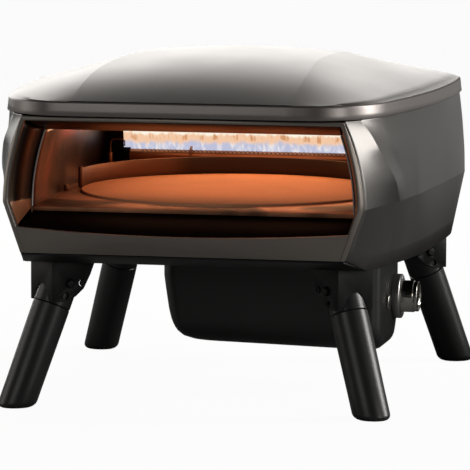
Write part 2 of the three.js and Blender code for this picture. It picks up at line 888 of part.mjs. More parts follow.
function driveShaft() {
  return drum(shaftRadius, gearboxTop - shaftInMotor, shaftTop, boltSides);
}

function bearingBush() {
  const bore = shaftRadius + seatGap;
  const body = bushHole - seatGap;
  const seat = baseTop + panSheet + seatGap;
  return lathe([[bore, baseTop], [body, baseTop], [body, seat], [bushFlange, seat],
    [bushFlange, seat + bushFlangeThick], [bore, seat + bushFlangeThick], [bore, baseTop]], legSides);
}

function gearmotor() {
  const low = gearboxTop - gearboxHeight;
  const can = drum(motorCanRadius, low - motorCanHeight, low + cutOver, legSides);
  const end = gearboxTop - shaftInMotor - seatGap;
  const bore = drum(shaftRadius + seatGap, end, gearboxTop + cutOver, boltSides);
  const body = drum(motorRadius, low, gearboxTop, knobSides);
  return joined([body, can.translate(motorCanOffset, 0, 0)], [bore]);
}

// Flame guard: a half ring of sheet behind the stone, with a post at each end
function flameGuard() {
  const inner = stoneRadius + stoneGap + guardClear;
  const low = floorTop + seatGap;
  const arc = (z) => Array.from({ length: guardSteps + 1 }, (unused, k) => {
    const a = THREE.MathUtils.degToRad(lerp(guardStart, straightAngle - guardStart, k / guardSteps));
    return [inner * Math.cos(a), inner * Math.sin(a), z];
  });
  const wall = sheetOf([arc(low), arc(low + guardHeight)], guardSheet);
  const ends = [1, -1].map((side) => {
    const [x, y] = arc(low)[0];
    const post = drum(guardPostRadius, low, low + guardHeight + guardPostExtra, boltSides);
    return post.translate(side * (x + guardSheet * middleShare), y, 0);
  });
  return joined([wall, ...ends]);
}

// Burner: a straight tube across the rear, with an end cap, two hangers and the igniter
function burnerTube() {
  const bore = burnerRadius - burnerWall;
  return turned(lathe([[bore, burnerLeft], [burnerRadius, burnerLeft], [burnerRadius, burnerRight],
    [bore, burnerRight], [bore, burnerLeft]], tubeSides), alongX).translate(0, burnerY, burnerZ);
}

function burnerEndCap() {
  const bore = burnerRadius + seatGap;
  const outer = bore + capWall;
  const floor = burnerLeft - seatGap;
  const rim = floor + capDepth;
  const back = floor - capWall;
  return turned(lathe([[0, back - capDome], [outer - capDome, back - capDome], [outer, back],
    [outer, rim], [bore, rim], [bore, floor], [0, floor]], tubeSides), alongX)
    .translate(0, burnerY, burnerZ);
}

function burnerHanger(side) {
  const hole = burnerRadius + seatGap;
  const low = floorTop + seatGap;
  const top = burnerZ + hole + hangerTop;
  const half = hangerWidth * middleShare;
  const shoulder = top - hangerTop;
  const outline = [[burnerY - half, low], [burnerY + half, low], [burnerY + half, shoulder],
    [burnerY + half - hangerTop, top], [burnerY - half + hangerTop, top],
    [burnerY - half, shoulder]];
  const flat = plate(outline, 0, hangerSheet, [circle(hole, tubeSides, burnerY, burnerZ)]);
  return turned(flat, alongX).translate(side * burnerHangerX, 0, 0);
}

function tube(points, bend, radius, sides, steps) {
  const path = new THREE.CurvePath();
  let from = points[0];
  for (let k = 1; k < points.length; k += 1) {
    const corner = points[k];
    const next = points[k + 1];
    if (!next) {
      path.add(new THREE.LineCurve3(from, corner));
      break;
    }
    const before = corner.clone().lerp(from, bend / corner.distanceTo(from));
    const after = corner.clone().lerp(next, bend / corner.distanceTo(next));
    path.add(new THREE.LineCurve3(from, before));
    path.add(new THREE.QuadraticBezierCurve3(before, corner, after));
    from = after;
  }
  const shape = new THREE.Shape(circle(radius, sides).map(([x, y]) => new THREE.Vector2(x, y)));
  return clean(new THREE.ExtrudeGeometry(shape, { steps, extrudePath: path, bevelEnabled: false }));
}

function igniterElectrode() {
  const low = floorTop + seatGap;
  const top = low + electrodeHeight;
  const body = drum(electrodeRadius, low, top, boltSides).translate(electrodeX, burnerY, 0);
  const points = [[0, -sparkRise * middleShare], [0, sparkRise], [sparkReach, sparkRise]].map(([x, z]) =>
    new THREE.Vector3(electrodeX + x, burnerY, top + z));
  return joined([body, tube(points, sparkReach * bendShare, sparkRadius, pipeSides, boltSides)]);
}

function floorStud() {
  const low = floorTop + seatGap;
  return drum(studRadius, low, low + studHeight, boltSides).translate(studX, studY, 0);
}

// Control housing: a deep tray with a rounded front, a fuller rounded rear and a rounded end
function boxEndRise(x, start, reachIn) {
  const share = THREE.MathUtils.clamp((x - start) / reachIn, 0, 1);
  const k = Math.max(1, boxEndShares.findIndex(([s]) => s >= share - weld));
  const [from, high] = boxEndShares[k - 1];
  const [to, low] = boxEndShares[k];
  return boxDepth * lerp(high, low, (share - from) / (to - from));
}

function boxSection(x, wall) {
  const front = boxFront + wall;
  const rear = boxRear - wall;
  const top = wall > 0 ? gearboxTop + cutOver : gearboxTop;
  const slope = THREE.MathUtils.smoothstep(x, boxSlopeStart, boxSlopeEnd);
  const flat = baseTop - boxDepth - boxExtraDepth * slope + wall;
  const rise = boxEndRise(x, boxLeft + wall, boxEndReach - wall);
  const nearEnd = THREE.MathUtils.clamp(1 + (x - boxRight + wall) / boxEdge, 0, 1);
  const low = flat + rise + boxEdge * (1 - Math.sqrt(1 - nearEnd ** 2));
  const arc = (y, z, r, from) => Array.from({ length: boxArcSteps + 1 }, (unused, k) => {
    const a = THREE.MathUtils.degToRad(lerp(from, from + rightAngle, k / boxArcSteps));
    return [x, y + r * Math.cos(a), z + r * Math.sin(a)];
  });
  const most = (gearboxTop - low) * boxRadiusShare;
  const rf = Math.min(boxFrontRadius - wall, most);
  const rr = Math.min(boxRearRadius - wall, most);
  return [[x, front, top], ...arc(front + rf, low + rf, rf, straightAngle),
    ...arc(rear - rr, low + rr, rr, straightAngle + rightAngle), [x, rear, top]];
}

function boxStations(wall) {
  const start = boxLeft + wall;
  const end = boxRight - wall;
  const slopeMid = lerp(boxSlopeStart, boxSlopeEnd, middleShare);
  return [...boxEndShares.map(([s]) => start + s * (boxEndReach - wall)), boxSlopeStart, slopeMid,
    boxSlopeEnd, ...boxEdgeShares.map((s) => end - boxEdge * (1 - s))];
}

function controlHousing() {
  const outer = lofted(boxStations(0).map((x) => boxSection(x, 0)));
  const inner = lofted(boxStations(boxWall).map((x) => boxSection(x, boxWall)));
  const from = boxRight - boxWall - cutOver;
  const to = boxRight + cutOver;
  const nose = turned(drum(noseRadius + seatGap, from, to, legSides), alongX).translate(0, knobY, knobZ);
  const sleeve = turned(drum(buttonRadius + buttonSleeve + runGap, from, to, legSides), alongX)
    .translate(0, buttonY, buttonZ);
  const rear = boxRear - boxWall - cutOver;
  const supply = turned(drum(inletRadius + seatGap, rear, boxRear + cutOver, legSides), alongY)
    .translate(valveAxisX, 0, knobZ);
  return joined([outer], [inner, nose, sleeve, supply]);
}

// Gas valve with its stem, the knob in its bezel, the pipe and the supply nozzle
const valveAxisX = valveX - valveLength * middleShare;
const wallFace = boxRight + seatGap;
const bezelFace = wallFace + bezelThick;
const knobBack = wallFace + bezelFloor + knobTravel + runGap;
const stemTip = bezelFace + knobFace - knobNose - knobStemCover;
const stemFoot = valveX - stemBack;

function gasValve() {
  const bore = stemRadius + runGap;
  const depth = stemFoot - knobTravel - runGap;
  const start = valveX - valveLength;
  return turned(lathe([[0, start], [valveRadius, start], [valveRadius, valveX], [noseRadius, valveX],
    [noseRadius, wallFace], [bore, wallFace], [bore, depth], [0, depth]], legSides), alongX)
    .translate(0, knobY, knobZ);
}

function valveStem() {
  return turned(drum(stemRadius, stemFoot, stemTip, boltSides), alongX).translate(0, knobY, knobZ);
}

function knobBezel() {
  const bore = knobRadius + runGap;
  const hole = noseRadius + seatGap;
  const floor = wallFace + bezelFloor;
  const ring = turned(lathe([[hole, wallFace], [bezelRadius, wallFace],
    [bezelRadius, bezelFace - bezelFloor * middleShare],
    [bezelRadius - bezelFloor * middleShare, bezelFace], [bore, bezelFace], [bore, floor],
    [hole, floor], [hole, wallFace]], knobSides), alongX).translate(0, knobY, knobZ);
  const half = bezelNotch * middleShare;
  const notch = block(bezelFace - bezelNotch, bezelFace + cutOver, knobY - half, knobY + half,
    knobZ + bore + bezelNotch * middleShare, knobZ + bezelRadius + cutOver);
  return joined([ring], [notch]);
}

function gasKnob() {
  const face = bezelFace + knobFace;
  const groove = face - knobNose;
  const bore = stemRadius + seatGap;
  const nose = knobRadius - knobNoseInset;
  return turned(lathe([[bore, knobBack], [knobRadius, knobBack], [knobRadius, groove - knobGrooveWidth],
    [knobRadius - knobGroove, groove - knobGrooveWidth], [knobRadius - knobGroove, groove],
    [nose, groove], [nose, face], [nose - knobDish, face], [nose - knobDish - knobDish, face - knobDish],
    [0, face - knobDish], [0, stemTip + seatGap], [bore, stemTip + seatGap], [bore, knobBack]],
  knobSides), alongX).translate(0, knobY, knobZ);
}

function gasPipe() {
  const top = [valveAxisX, knobY, knobZ + valveRadius + seatGap];
  const route = [[burnerRight - pipeInBurner, burnerY, burnerZ], [pipeDropX, burnerY, burnerZ],
    [pipeDropX, burnerY, pipeRunZ], [valveAxisX, knobY, pipeRunZ], top];
  return tube(route.map((p) => new THREE.Vector3(...p)), pipeBend, pipeRadius, pipeSides, pipeSteps);
}

function gasInlet() {
  const start = knobY + valveRadius + seatGap;
  const seat = boxRear + seatGap;
  const barbs = [];
  const first = seat + inletFlangeThick;
  const root = inletRadius - inletBarb;
  const pitch = (inletReach - inletFlangeThick) / (inletBarbs + 1);
  for (let k = 1; k <= inletBarbs; k += 1) {
    const y = first + k * pitch;
    barbs.push([root, y], [inletRadius, y], [root, y + pitch * middleShare]);
  }
  const profile = [[0, start], [inletRadius, start], [inletRadius, seat], [inletFlange, seat],
    [inletFlange, first], [root, first], ...barbs, [0, seat + inletReach]];
  return turned(lathe(profile, boltSides), alongY).translate(valveAxisX, 0, knobZ);
}

// Power button in its ring and sleeve
function buttonRing() {
  const bore = buttonRadius + seatGap;
  const outer = bore + buttonSleeve;
  const face = wallFace + buttonRingThick;
  const floor = face + buttonProud - buttonLength - buttonTravel - runGap;
  return turned(lathe([[0, floor - buttonBack], [outer, floor - buttonBack], [outer, wallFace],
    [buttonRingRadius, wallFace], [buttonRingRadius, face - buttonProud],
    [buttonRingRadius - buttonProud, face], [bore, face], [bore, floor], [0, floor]], legSides), alongX)
    .translate(0, buttonY, buttonZ);
}

function powerButton() {
  const face = wallFace + buttonRingThick + buttonProud;
  return turned(lathe([[0, face - buttonLength], [buttonRadius, face - buttonLength],
    [buttonRadius, face - buttonProud], [buttonRadius - buttonProud, face], [0, face]], legSides), alongX)
    .translate(0, buttonY, buttonZ);
}

// Legs: all lengths from the pivot, +X outwards, the leg tilted outwards at rest
const pivotZ = groundClearance - pivotDrop;
const tilt = THREE.MathUtils.degToRad(legTilt);
const legLength = pivotZ / Math.cos(tilt);
const channelHalf = legTopRadius + runGap;

function alongLeg(geometry) {
  return geometry.rotateY(-tilt);
}

function arcProfile(radius, centre, from, to, steps) {
  return Array.from({ length: steps + 1 }, (unused, k) => {
    const a = THREE.MathUtils.degToRad(lerp(from, to, k / steps));
    return [radius * Math.cos(a), centre + radius * Math.sin(a)];
  });
}

function acrossBore(radius, x, z) {
  const half = channelHalf + bracketSheet + cutOver;
  return turned(drum(radius, -half, half, boltSides), alongY).translate(x, 0, z);
}

function legKnuckle() {
  const dome = arcProfile(legTopRadius, 0, 0, rightAngle, domeSteps);
  dome[dome.length - 1][0] = 0;
  const body = alongLeg(lathe([[0, -knuckleLength], [legTopRadius, -knuckleLength], ...dome], legSides));
  const lock = acrossBore(lockRadius + seatGap, lockReach * Math.sin(tilt), -lockReach * Math.cos(tilt));
  return joined([body], [acrossBore(boltRadius + seatGap, 0, 0), lock]);
}

// A round of the tube at some distance from the pivot, square to the tube or level
function legRound(radius, along, slope) {
  return circle(radius, legSides).map(([x, y]) => {
    const reachDown = along + x * Math.tan(slope);
    const down = reachDown * Math.cos(tilt) - x * Math.sin(tilt);
    return [reachDown * Math.sin(tilt) + x * Math.cos(tilt), y, -down];
  });
}

function legTube() {
  const top = legRound(legTopRadius, knuckleLength + seatGap, 0);
  const rounds = [];
  for (let k = 0; k <= footEdgeSteps; k += 1) {
    const a = THREE.MathUtils.degToRad(rightAngle * k / footEdgeSteps);
    const rise = footEdge * (1 - Math.sin(a));
    const radius = legFootRadius - footEdge * (1 - Math.cos(a));
    rounds.push(legRound(radius, legLength - rise / Math.cos(tilt), tilt));
  }
  return lofted([top, ...rounds]);
}

function lockPlunger() {
  const half = channelHalf - runGap - legTopRadius * lockSagShare;
  return turned(drum(lockRadius, -half, half, boltSides), alongY)
    .translate(lockReach * Math.sin(tilt), 0, -lockReach * Math.cos(tilt));
}

function pivotBolt() {
  const face = channelHalf + bracketSheet + seatGap;
  const rim = boltHeadRadius - boltHeadHeight * middleShare;
  return turned(lathe([[0, -face - boltHeadHeight], [rim, -face - boltHeadHeight],
    [boltHeadRadius, -face - boltHeadHeight * middleShare], [boltHeadRadius, -face], [boltRadius, -face],
    [boltRadius, face], [boltHeadRadius, face], [boltHeadRadius, face + boltHeadHeight * middleShare],
    [rim, face + boltHeadHeight], [0, face + boltHeadHeight]], boltSides), alongY);
}

function legBracket() {
  const top = pivotDrop - seatGap;
  const foot = top - bracketHeight;
  const web = bracketWeb;
  const back = web - bracketDepth;
  const toe = arcProfile(bracketToeRadius, 0, -rightAngle, 0, boxArcSteps).map(([x, z]) =>
    [web - bracketDepth * toeShare - x, foot + bracketToeRadius + z]).reverse();
  const side = flangeShares.map(([d, h]) => [web - bracketDepth * d, foot + bracketHeight * h]);
  const outline = [[web, foot], [web, top], ...side, ...toe.slice(toe.length - 1)];
  const outer = channelHalf + bracketSheet;
  const flange = (y) => turned(plate(outline, -y - bracketSheet, -y), alongFront);
  const lid = block(back, web, -outer, outer, top - bracketSheet, top);
  const cheek = plate([[-outer, foot], [outer, foot], [outer, top], [-outer, top]], web - bracketSheet, web);
  const cutter = legTopRadius + bracketNotchGap;
  const dome = arcProfile(cutter, 0, 0, rightAngle, domeSteps);
  dome[dome.length - 1][0] = 0;
  const far = -bracketDepth - bracketHeight;
  const notch = alongLeg(lathe([[0, far], [cutter, far], ...dome], legSides));
  const lockBore = lockRadius + seatGap;
  const lock = (a) => acrossBore(lockBore, lockReach * Math.sin(a), -lockReach * Math.cos(a));
  const fold = -THREE.MathUtils.degToRad(rightAngle);
  const box = [flange(channelHalf), flange(-outer), lid, turned(cheek, alongX)];
  return joined(box, [notch, acrossBore(boltRadius + seatGap, 0, 0), lock(tilt), lock(fold)]);
}

// Assembly
const oven = new THREE.Group();
oven.name = 'pizza_oven';

function add(name, geometry, material, parent = oven) {
  const mesh = new THREE.Mesh(geometry, material);
  mesh.name = name;
  parent.add(mesh);
  return mesh;
}

function addPair(name, geometry, material) {
  add(`${name}_right`, geometry, material);
  add(`${name}_left`, mirrored(geometry), material);
}

add('lid_shell', lidShell(), lidPaint);
addPair('side_panel', sideShell(), shellPaint);
add('rear_panel', rearPanel(), shellPaint);
add('front_frame', frontFrame(), framePaint);
add('front_apron', frontApron(), framePaint);
add('threshold_panel', thresholdPanel(), darkSteel);
add('lintel', lintel(), linerSteel);
addPair('jamb', jamb(), linerSteel);
addPair('liner_side', linerSide(), linerSteel);
add('liner_back', linerBack(), linerSteel);
add('liner_ceiling', linerCeiling(), linerSteel);
add('base_pan', basePan(), darkSteel);
add('floor_plate', floorPlate(), floorSteel);
add('pizza_stone', pizzaStone(), stoneFace);
add('turntable_plate', turntablePlate(), plainSteel);
add('drive_shaft', driveShaft(), plainSteel);
add('bearing_bush', bearingBush(), brass);
add('gearmotor', gearmotor(), plainSteel);
add('flame_guard', flameGuard(), floorSteel);
add('burner_tube', burnerTube(), plainSteel);
add('burner_end_cap', burnerEndCap(), blackPlastic);
add('burner_hanger_right', burnerHanger(1), plainSteel);
add('burner_hanger_left', burnerHanger(-1), plainSteel);
add('igniter_electrode', igniterElectrode(), ceramic);
add('floor_stud', floorStud(), plainSteel);
add('control_housing', controlHousing(), blackPlastic);
add('gas_valve', gasValve(), brass);
add('valve_stem', valveStem(), plainSteel);
add('gas_pipe', gasPipe(), brass);
add('gas_inlet', gasInlet(), brass);
add('knob_bezel', knobBezel(), blackPlastic);
add('gas_knob', gasKnob(), chrome);
add('button_ring', buttonRing(), chrome);
add('power_button', powerButton(), blackPlastic);

const legPlaces = [
  ['front_right', frontPivotX, frontPivotY, -legYaw],
  ['front_left', -frontPivotX, frontPivotY, legYaw - straightAngle],
  ['rear_right', rearPivotX, rearPivotY, legYaw],
  ['rear_left', -rearPivotX, rearPivotY, straightAngle - legYaw],
];
for (const [corner, x, y, yaw] of legPlaces) {
  const leg = new THREE.Group();
  leg.position.set(x, y, pivotZ);
  leg.rotation.z = THREE.MathUtils.degToRad(yaw);
  oven.add(leg);
  add(`leg_bracket_${corner}`, legBracket(), darkSteel, leg);
  add(`leg_knuckle_${corner}`, legKnuckle(), legPlastic, leg);
  add(`leg_tube_${corner}`, legTube(), legPlastic, leg);
  add(`lock_plunger_${corner}`, lockPlunger(), plainSteel, leg);
  add(`pivot_bolt_${corner}`, pivotBolt(), plainSteel, leg);
}

// The footprint's middle stands at X 0, Y 0, on the ground
oven.updateMatrixWorld(true);
const footprint = new THREE.Box3().setFromObject(oven, true).getCenter(new THREE.Vector3());
oven.position.set(-footprint.x, -footprint.y, 0);

export default oven;
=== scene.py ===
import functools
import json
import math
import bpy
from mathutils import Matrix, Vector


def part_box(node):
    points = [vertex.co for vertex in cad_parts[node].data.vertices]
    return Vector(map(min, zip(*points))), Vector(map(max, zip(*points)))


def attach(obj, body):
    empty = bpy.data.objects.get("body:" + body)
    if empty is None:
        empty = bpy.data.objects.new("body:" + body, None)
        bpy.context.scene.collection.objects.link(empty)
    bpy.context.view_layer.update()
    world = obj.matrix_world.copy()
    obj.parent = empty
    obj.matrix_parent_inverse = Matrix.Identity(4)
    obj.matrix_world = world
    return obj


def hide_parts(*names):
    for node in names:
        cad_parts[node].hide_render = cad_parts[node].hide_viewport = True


bl_info = {
    "name": "Portable pizza oven",
    "version": (1, 0, 0),
    "blender": (4, 5, 0),
    "location": "3D View > Sidebar > Oven",
    "description": "Builds the finished pieces, finishes and stage of a portable pizza oven",
    "category": "Object",
}

import bmesh
import bpy
from mathutils import Matrix, Vector

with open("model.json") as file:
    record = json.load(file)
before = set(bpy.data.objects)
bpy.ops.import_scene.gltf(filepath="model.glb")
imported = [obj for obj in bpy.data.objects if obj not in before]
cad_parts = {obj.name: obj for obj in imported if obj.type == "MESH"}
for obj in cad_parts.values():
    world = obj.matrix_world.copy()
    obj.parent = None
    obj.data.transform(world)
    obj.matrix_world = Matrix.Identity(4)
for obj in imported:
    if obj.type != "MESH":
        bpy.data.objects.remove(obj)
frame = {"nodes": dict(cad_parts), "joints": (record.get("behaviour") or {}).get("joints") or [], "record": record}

# Vertices closer than this are one, and places that agree to so many decimals are the same
MERGE = 1e-5
SAME_DIGITS = 7
# Folds that the solids' own pieces keep flat
FLAT_ANGLE = math.radians(0.4)
BODY = "oven"
CORNERS = ("front_right", "front_left", "rear_right", "rear_left")

# Rows of the lid from front to rear: outline x, outline y, crease x, crease y,
# as shares of the half width and of the front or rear reach
LID_ROW_SHARES = (
    (0.502, -1, 0.502, -1),
    (0.618, -0.99, 0.502, -0.961),
    (0.69, -0.964, 0.502, -0.915),
    (0.748, -0.928, 0.502, -0.855),
    (0.807, -0.868, 0.502, -0.773),
    (0.85, -0.803, 0.5, -0.704),
    (0.884, -0.72, 0.498, -0.64),
    (0.924, -0.541, 0.487, -0.498),
    (0.964, -0.308, 0.469, -0.293),
    (0.989, -0.079, 0.462, -0.079),
    (1, 0.186, 0.465, 0.169),
    (0.998, 0.427, 0.469, 0.373),
    (0.982, 0.688, 0.48, 0.569),
    (0.953, 0.79, 0.495, 0.671),
    (0.9, 0.888, 0.505, 0.759),
    (0.845, 0.952, 0.513, 0.847),
    (0.784, 0.988, 0.516, 0.908),
    (0.709, 1, 0.516, 0.959),
    (0.516, 1, 0.516, 1),
)


# Settings


def length(name, default, text):
    return bpy.props.FloatProperty(
        name=name, description=text, default=default, unit="LENGTH", subtype="DISTANCE", precision=4
    )


def share(name, default, text):
    return bpy.props.FloatProperty(name=name, description=text, default=default)


def count(name, default, text):
    return bpy.props.IntProperty(name=name, description=text, default=default)


def colour(name, default, text):
    return bpy.props.FloatVectorProperty(
        name=name, description=text, default=default, subtype="COLOR", size=3, min=0, max=1
    )


class OvenLidSettings(bpy.types.PropertyGroup):
    """Sizes of the lid"""

    band: length("Band height", 0.018, "Height of the band round the lid")
    draft: length("Band draft", 0.0017, "How far the band leans in over its height")
    fillet: length("Edge radius", 0.003, "Radius between the dome and the band")
    wall: length("Wall", 0.002, "Thickness of the lid's sheet")
    rise: length("Dome rise", 0.041, "Rise of the dome above the band")
    crown: length("Crown rise", 0.0068, "Rise of the crown between the creases")
    crest: length("Crest offset", 0.01, "How far forward of the stone's axis the crest runs")
    power: share("Dome power", 2.6, "How late the dome falls towards its ends")
    spacing: length("Row spacing", 0.006, "Distance between rows of the lid's faces")
    inner: count("Crown columns", 44, "Columns of faces between the two creases")
    outer: count("Side columns", 12, "Columns of faces from each crease to the edge")


class OvenShellSettings(bpy.types.PropertyGroup):
    """Sizes of the sheet parts"""

    edge: length("Edge radius", 0.0005, "Rounding of sheet edges")
    angle: bpy.props.FloatProperty(
        name="Fold angle",
        description="Edges that turn by more than this are rounded",
        default=math.radians(17),
        subtype="ANGLE",
    )
    wall: length("Wall", 0.0016, "Thickness of the side panels")
    crease_width: length("Crease width", 0.0014, "How far the round of a crease reaches to each side")
    crease_fade: length("Crease fade", 0.0001, "Height above the waist up to which the lower fold runs")
    crease_start: length("Crease start", 0.02, "Height above the waist where the cheek's crease turns crisp")
    crease_push: length("Crease push", 0.0046, "How far the cheek's crease stands out between lid and waist")
    crease_lead: share("Crease lead", 4.8, "How far the crease comes forward for what it stands out")
    waist_rise: length("Waist height", 0.083, "Height of the waist above the shell's foot")
    waist_half: length("Waist half width", 0.274, "Half the shell's width at its waist")
    waist_front: length("Waist front", 0.182, "How far forward the waist's line starts")
    waist_rear: length("Waist rear", 0.295, "How far back the waist's line reaches")
    foot_half: length("Foot half width", 0.260, "Half the shell's width at its foot")
    foot_front: length("Foot front", 0.194, "How far forward the foot's line starts")
    foot_rear: length("Foot rear", 0.283, "How far back the foot's line reaches")
    tuck_inset: length("Tuck", 0.00297, "How far the shell's top is in from the lid's edge")
    frame_top: length("Frame top half", 0.204, "Half the frame's width at its top")
    frame_foot: length("Frame foot half", 0.2067, "Half the frame's width at its foot")
    bend_out: share("Bend out", 0.94, "Place of the foot's front bend, as a share of the foot's width")
    bend_back: share("Bend back", 0.4, "Place of the foot's front bend between its line and the frame")
    levels: count("Levels", 4, "Fine rows between two places of the cheek")
    stations: count("Stations", 5, "Fine columns between two places of the side")
    bow: length("Bow", 0.0062, "How far the sides of the mouth bow outwards")
    bow_steps: count("Bow steps", 14, "Fine rows up the sides of the mouth")
    bar_side: length("Bar width", 0.0063, "Width of the frame's sides")
    bar_corner: length("Bar corner", 0.0037, "Width of the frame's sides at the top")
    bar_slant: length("Bar slant", 0.004, "How far the outer edge of the frame's sides stands back")
    bar_top: length("Top bar", 0.005, "Height of the frame's top bar")
    bar_edge: length("Bar edge", 0.0008, "Rounding of the frame's edges")
    inner_foot: length("Liner foot half", 0.207, "Half the liner's width at its mouth, at the floor")
    inner_bow: length("Liner bow", 0.0045, "How far the liner's front edges bow outwards")
    lean: length("Liner lean", 0.017, "How far the liner leans in towards its top")
    liner_half: length("Liner half width", 0.239, "Half the liner's width at the rear")
    liner_knee: length("Liner knee", 0.009, "Height of the liner's upright foot below the floor")
    lintel_drop: length("Lintel drop", 0.0147, "How far the lintel falls from the frame to the liner")
    sheet: length("Sheet", 0.0015, "Thickness of the inner sheets")
    bead: length("Bead radius", 0.0013, "Radius of the liner's rolled edge")
    screw: length("Screw radius", 0.0044, "Radius of a screw's head")
    screw_away: length("Screw distance", 0.0184, "Distance of a bracket's screw from its pivot bolt")
    screw_rise: length("Screw rise", 0.0012, "How far a screw's head stands out")


class OvenChamberSettings(bpy.types.PropertyGroup):
    """Sizes of the baking chamber's details"""

    hole_pitch: length("Hole pitch", 0.006, "Distance between flame holes")
    hole_radius: length("Hole radius", 0.0013, "Radius of a flame hole")
    flame_height: length("Flame height", 0.06, "Height of the flames above the burner")
    flame_lean: length("Flame lean", 0.022, "How far the flames bow forward")
    flame_colour: length("Flame colour height", 0.034, "Height over which the flames go from blue to cream")
    flame_start: length("Flame inset", 0.002, "Distance from the burner's end to the first flame")
    wire: length("Wire radius", 0.0012, "Radius of the igniter's wire")
    wire_drop: length("Wire drop", 0.009, "How far the igniter's wire turns down")


class OvenLegSettings(bpy.types.PropertyGroup):
    """Sizes of the legs"""

    radius: length("Tube radius", 0.024, "Radius at the top of a leg's tube")
    foot: length("Foot radius", 0.0234, "Radius at the foot of a leg's tube")
    foot_edge: length("Foot edge", 0.008, "Rounding round the foot")
    knuckle: length("Knuckle length", 0.031, "Length of the knuckle below its pivot")
    gap: length("Seam", 0.0005, "Gap between knuckle and tube")
    lip: length("Seam edge", 0.0008, "Rounding of the seam's edges")
    steps: count("Sides", 72, "Sides of a round of the leg")


class OvenControlSettings(bpy.types.PropertyGroup):
    """Sizes of the housing, the knob and the button"""

    wall: length("Housing wall", 0.003, "Thickness of the housing")
    corner: length("Corner radius", 0.018, "Radius of the housing's upright corners")
    front: length("Front radius", 0.03, "Radius between the housing's front and floor")
    rear: length("Rear radius", 0.062, "Radius between the housing's rear and floor")
    end: length("End reach", 0.062, "How far the housing's left end takes to reach the floor")
    lip: length("Right radius", 0.012, "Radius between the housing's right end and floor")
    drop: length("Floor drop", 0.005, "How much lower the housing's floor is on the right")
    drop_start: length("Drop start", 0.129, "Where the lower floor ends, from the right end")
    drop_end: length("Drop end", 0.056, "Where the lower floor begins, from the right end")
    steps: count("Sides", 96, "Sides of the knob")
    edge: length("Knob edge", 0.0008, "Rounding of the knob's edges")
    groove: length("Knob groove", 0.0012, "Depth of the groove behind the knob's face")
    nose: length("Knob nose", 0.004, "Length of the knob's nose")
    dish: length("Knob dish", 0.0012, "Depth of the knob's face")
    mark: length("Mark width", 0.0022, "Width of the pointer on the knob")


class OvenColours(bpy.types.PropertyGroup):
    """Colours of the finishes"""

    lid: colour("Lid", (0.215, 0.196, 0.186), "Paint of the lid")
    shell: colour("Shell", (0.13, 0.124, 0.117), "Paint of the shell")
    trim: colour("Frame", (0.23, 0.205, 0.18), "Paint of the frame and the apron")
    dark: colour("Dark steel", (0.006, 0.0056, 0.0056), "Brackets and base")
    liner: colour("Liner", (0.085, 0.045, 0.028), "Heat-tinted liner")
    tint: colour("Heat tint", (0.2, 0.055, 0.028), "Redder parts of the liner")
    # Painted reflection: pink light high on the liner, painted into its colour
    painted_pink_reflection: colour("Liner blush", (0.55, 0.13, 0.09), "Pink reflection high on the liner")
    # Painted reflection: the fire mirrored on the guard's left part, painted into its colour
    painted_fire_reflection: colour("Guard glow", (0.22, 0.10, 0.06), "Left part of the guard, which mirrors the fire")
    # Soot and painted shade: darker patches at set places on the liner
    soot: colour("Liner soot", (0.012, 0.007, 0.005), "Dark parts of the liner")
    jamb: colour("Jamb", (0.05, 0.03, 0.02), "Dark steel of the jambs")
    # Painted reflection: the fire mirrored on the lower part of the jambs, painted into their colour
    painted_firelight: colour("Jamb foot", (0.62, 0.24, 0.11), "Lower part of the jambs, which mirrors the fire")
    guard: colour("Guard", (0.05, 0.032, 0.022), "Dark steel of the flame guard")
    copper: colour("Burner", (0.42, 0.17, 0.08), "Heat-tinted burner tube")
    black: colour("Threshold", (0.0012, 0.0011, 0.0011), "Black panel below the floor")
    floor: colour("Floor plate", (0.56, 0.25, 0.13), "Floor round the stone")
    stone: colour("Stone", (0.64, 0.31, 0.17), "Fired stone")
    fleck: colour("Stone flecks", (0.40, 0.22, 0.12), "Darker grains of the stone")
    ceramic: colour("Ceramic", (0.75, 0.72, 0.66), "Igniter's ceramic")
    steel: colour("Steel", (0.42, 0.41, 0.40), "Plain steel")
    plastic: colour("Housing", (0.007, 0.0067, 0.0067), "Black plastic of the housing")
    leg: colour("Leg", (0.009, 0.0087, 0.0087), "Black plastic of the legs")
    chrome: colour("Chrome", (0.70, 0.68, 0.62), "Bright plating")
    brass: colour("Brass", (0.52, 0.35, 0.13), "Brass of the gas parts")
    flame_blue: colour("Flame base", (0.52, 0.54, 0.70), "Foot of the flames")
    flame_cream: colour("Flame body", (0.90, 0.58, 0.38), "Body of the flames")
    flame_orange: colour("Flame streaks", (0.62, 0.27, 0.11), "Streaks in the flames")
    flame_white: colour("Flame tips", (1.0, 0.93, 0.78), "Brightest part of the flames")


